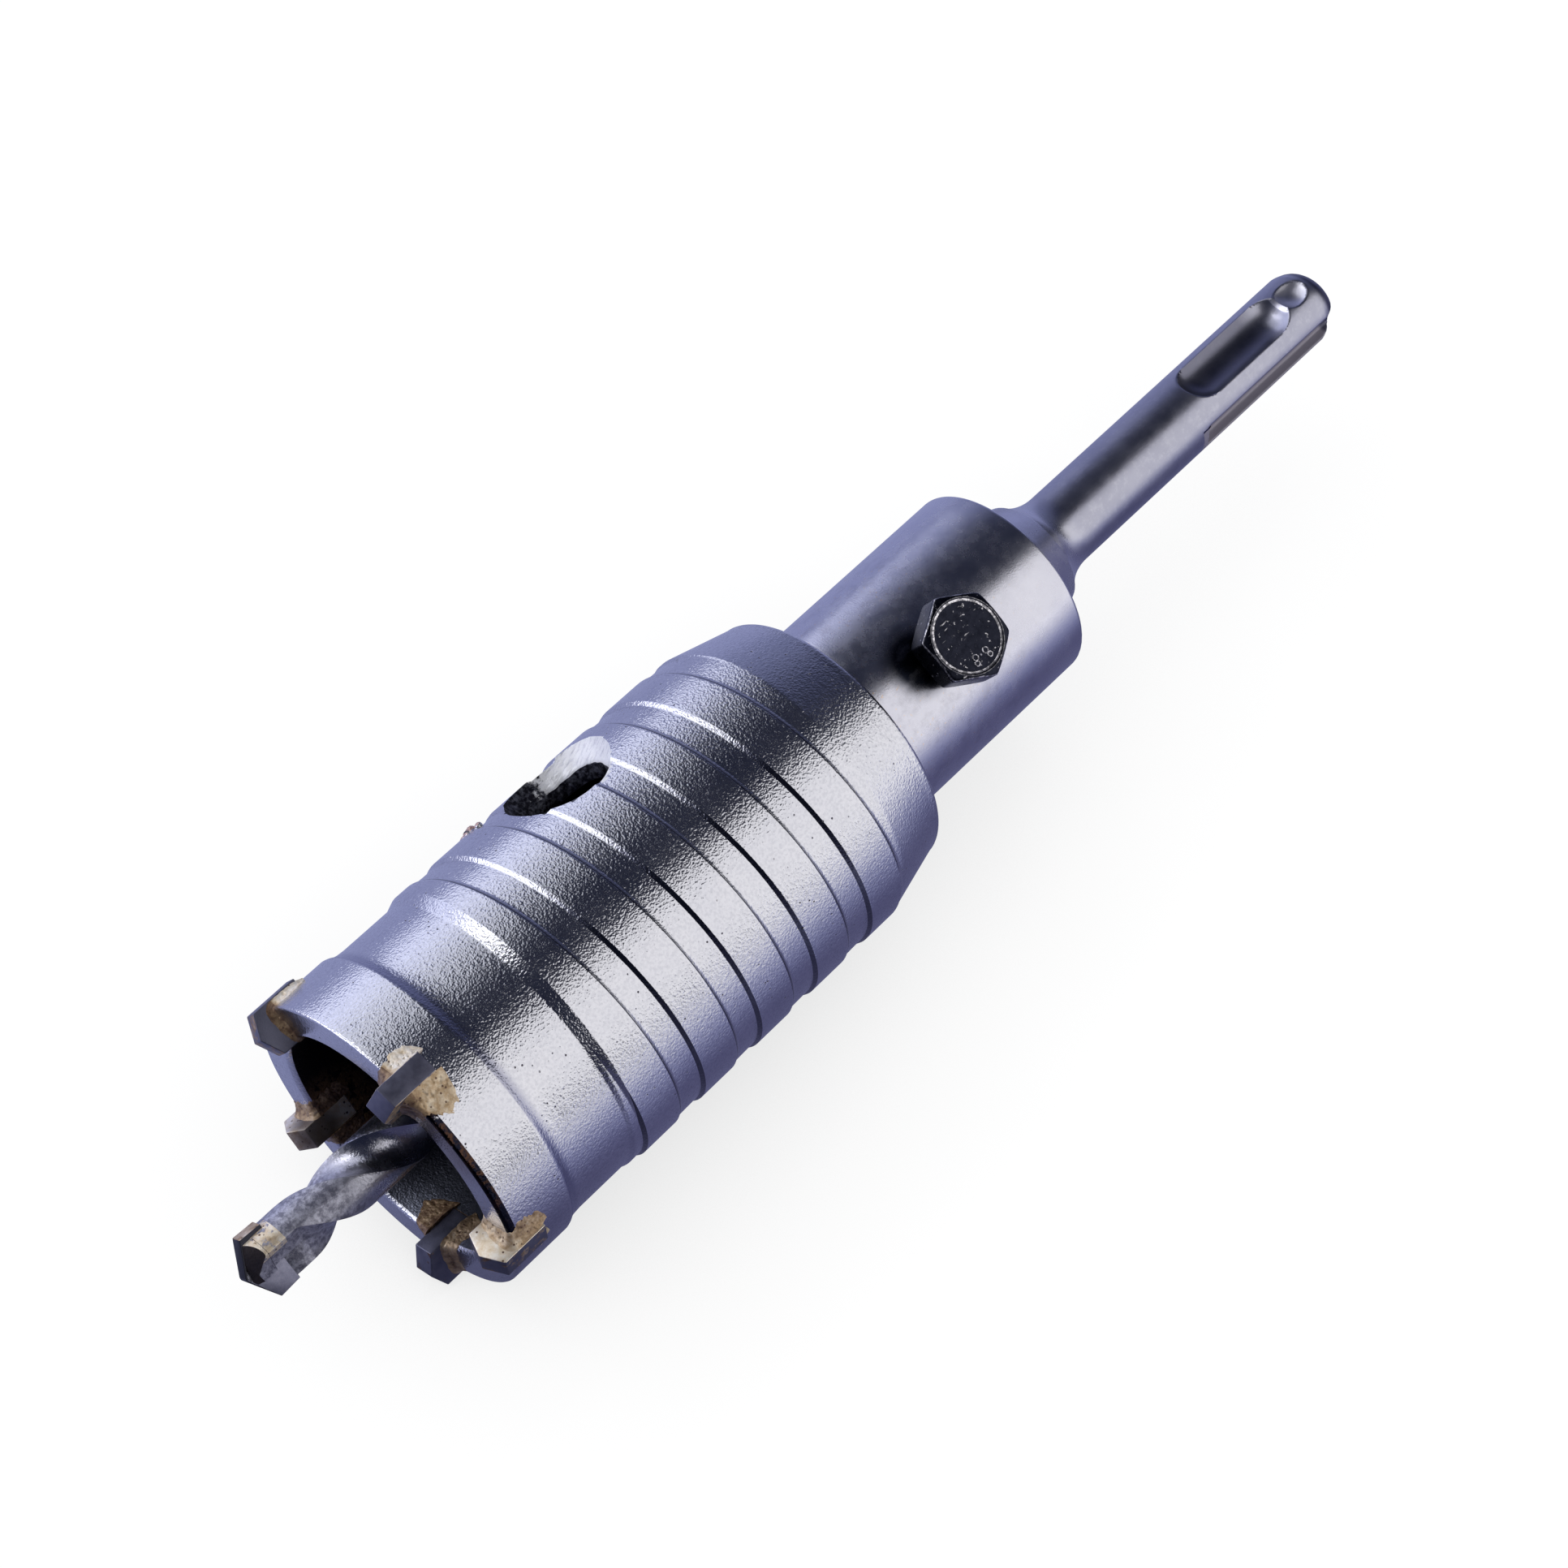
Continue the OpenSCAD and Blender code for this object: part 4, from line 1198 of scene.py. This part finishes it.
def make_floor(level):
    """White floor with faint lamp shadows and a painted shadow from ambient occlusion. In the metal it shows
    as pale blue at +Y and, at -Y, deep blue near the object, a painted shade, brightening further out.
    """
    size = 6.0
    mesh = bpy.data.meshes.new("studio_floor")
    corners = [(-size, -size, level), (size, -size, level), (size, size, level), (-size, size, level)]
    mesh.from_pydata(corners, [], [(0, 1, 2, 3)])
    floor = add_object("studio_floor", mesh)
    s = Shader("studio_floor")
    # In reflections: deep blue near the object at -Y and -X, a painted shade, brightening further out
    far = s.steps(s.span(s.along("Y"), -0.02, -0.30), [
        (0.0, (0.10, 0.10, 0.20)), (0.006, (0.09, 0.09, 0.19)), (0.03, (0.22, 0.235, 0.42)),
        (0.15, (0.52, 0.54, 0.74)), (0.5, (1.0, 1.0, 1.05))])
    far = s.mix(s.span(s.along("X"), -0.01, 0.03), (0.05, 0.05, 0.10), far)
    glow = s.mix(s.span(s.along("Y"), -0.03, 0.05), far, (0.33, 0.36, 0.60))
    # Painted shadow: ambient occlusion darkens the floor round the object, as the camera sees it
    shelter = s.node("ShaderNodeAmbientOcclusion", {"Distance": 0.034}, samples=4).outputs["AO"]
    painted_shadow = s.steps(shelter, [(0.20, 0.74), (0.60, 0.91), (0.80, 0.955), (0.93, 0.975), (0.99, 0.99)])
    seen = s.camera_ray()
    s.set("Base Color", s.mix(seen, (0.05, 0.05, 0.08), (0.05, 0.05, 0.05)))
    s.set("Emission Color", s.mix(seen, glow, painted_shadow))
    s.set("Emission Strength", 1.0)
    s.set("Roughness", 0.9)
    s.set("Specular IOR Level", 0.0)
    floor.data.materials.append(s.material)


def make_camera():
    data = bpy.data.cameras.new("camera")
    data.sensor_width = 36.0
    data.lens = CAMERA_LENS
    data.clip_start = 0.01
    camera = add_object("camera", data)
    forward, up = Vector(CAMERA_FORWARD), Vector(CAMERA_UP)
    camera.location = Vector(CAMERA_AT) * MM
    camera.rotation_euler = Matrix((forward.cross(up), up, -forward)).transposed().to_euler()
    bpy.context.scene.camera = camera


# The scene

MATERIALS = {make.__name__: make() for make in (blasted_steel, satin_steel, drill_steel, carbide, braze,
                                                black_steel)}


def finish_piece(piece, slot, node):
    """Gives a piece its material and lets it stand for a CAD node."""
    piece.data.materials.clear()
    piece.data.materials.append(MATERIALS[slot])
    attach(piece, "root")
    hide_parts(node)


make_camera()
finish_piece(make_cup(), "blasted_steel", "core_body")
finish_piece(make_adaptor(), "satin_steel", "adaptor")
finish_piece(make_pilot(), "drill_steel", "pilot_drill")
for k in range(TEETH):
    finish_piece(make_tooth(k), "carbide", "carbide_tooth_%d" % (k + 1))
    finish_piece(make_braze(k), "braze", "tooth_braze_%d" % (k + 1))
finish_piece(make_plate(), "carbide", "pilot_tip")
finish_piece(make_plate_bead(), "braze", "tip_braze")
finish_piece(make_bolt(), "black_steel", "clamp_bolt")

make_world()
make_floor(cad_low.z)
softbox("right_box", (0.48, -0.745, 0.475), 1.0, (1, -0.19, -0.29), 1.7, 1.05, 7.0, (1.0, 0.985, 0.96))
softbox("left_box", (0.05, 0.766, 0.643), 0.9, (0.21, 0.57, -0.46), 1.2, 0.76, 2.85, (0.93, 0.95, 1.0))
softbox("shoulder_strip", (-0.26, 0.52, 0.81), 0.9, (-0.11, -0.54, 0.31), 0.6, 0.2, 1.0, (1.0, 1.0, 1.0))
softbox("front_left_box", (-0.653, 0.706, 0.274), 1.1, (-0.42, -0.65, 0.67), 1.3, 0.55, 4.5, (1.0, 1.0, 1.0))
bpy.context.scene.view_settings.view_transform = "Standard"
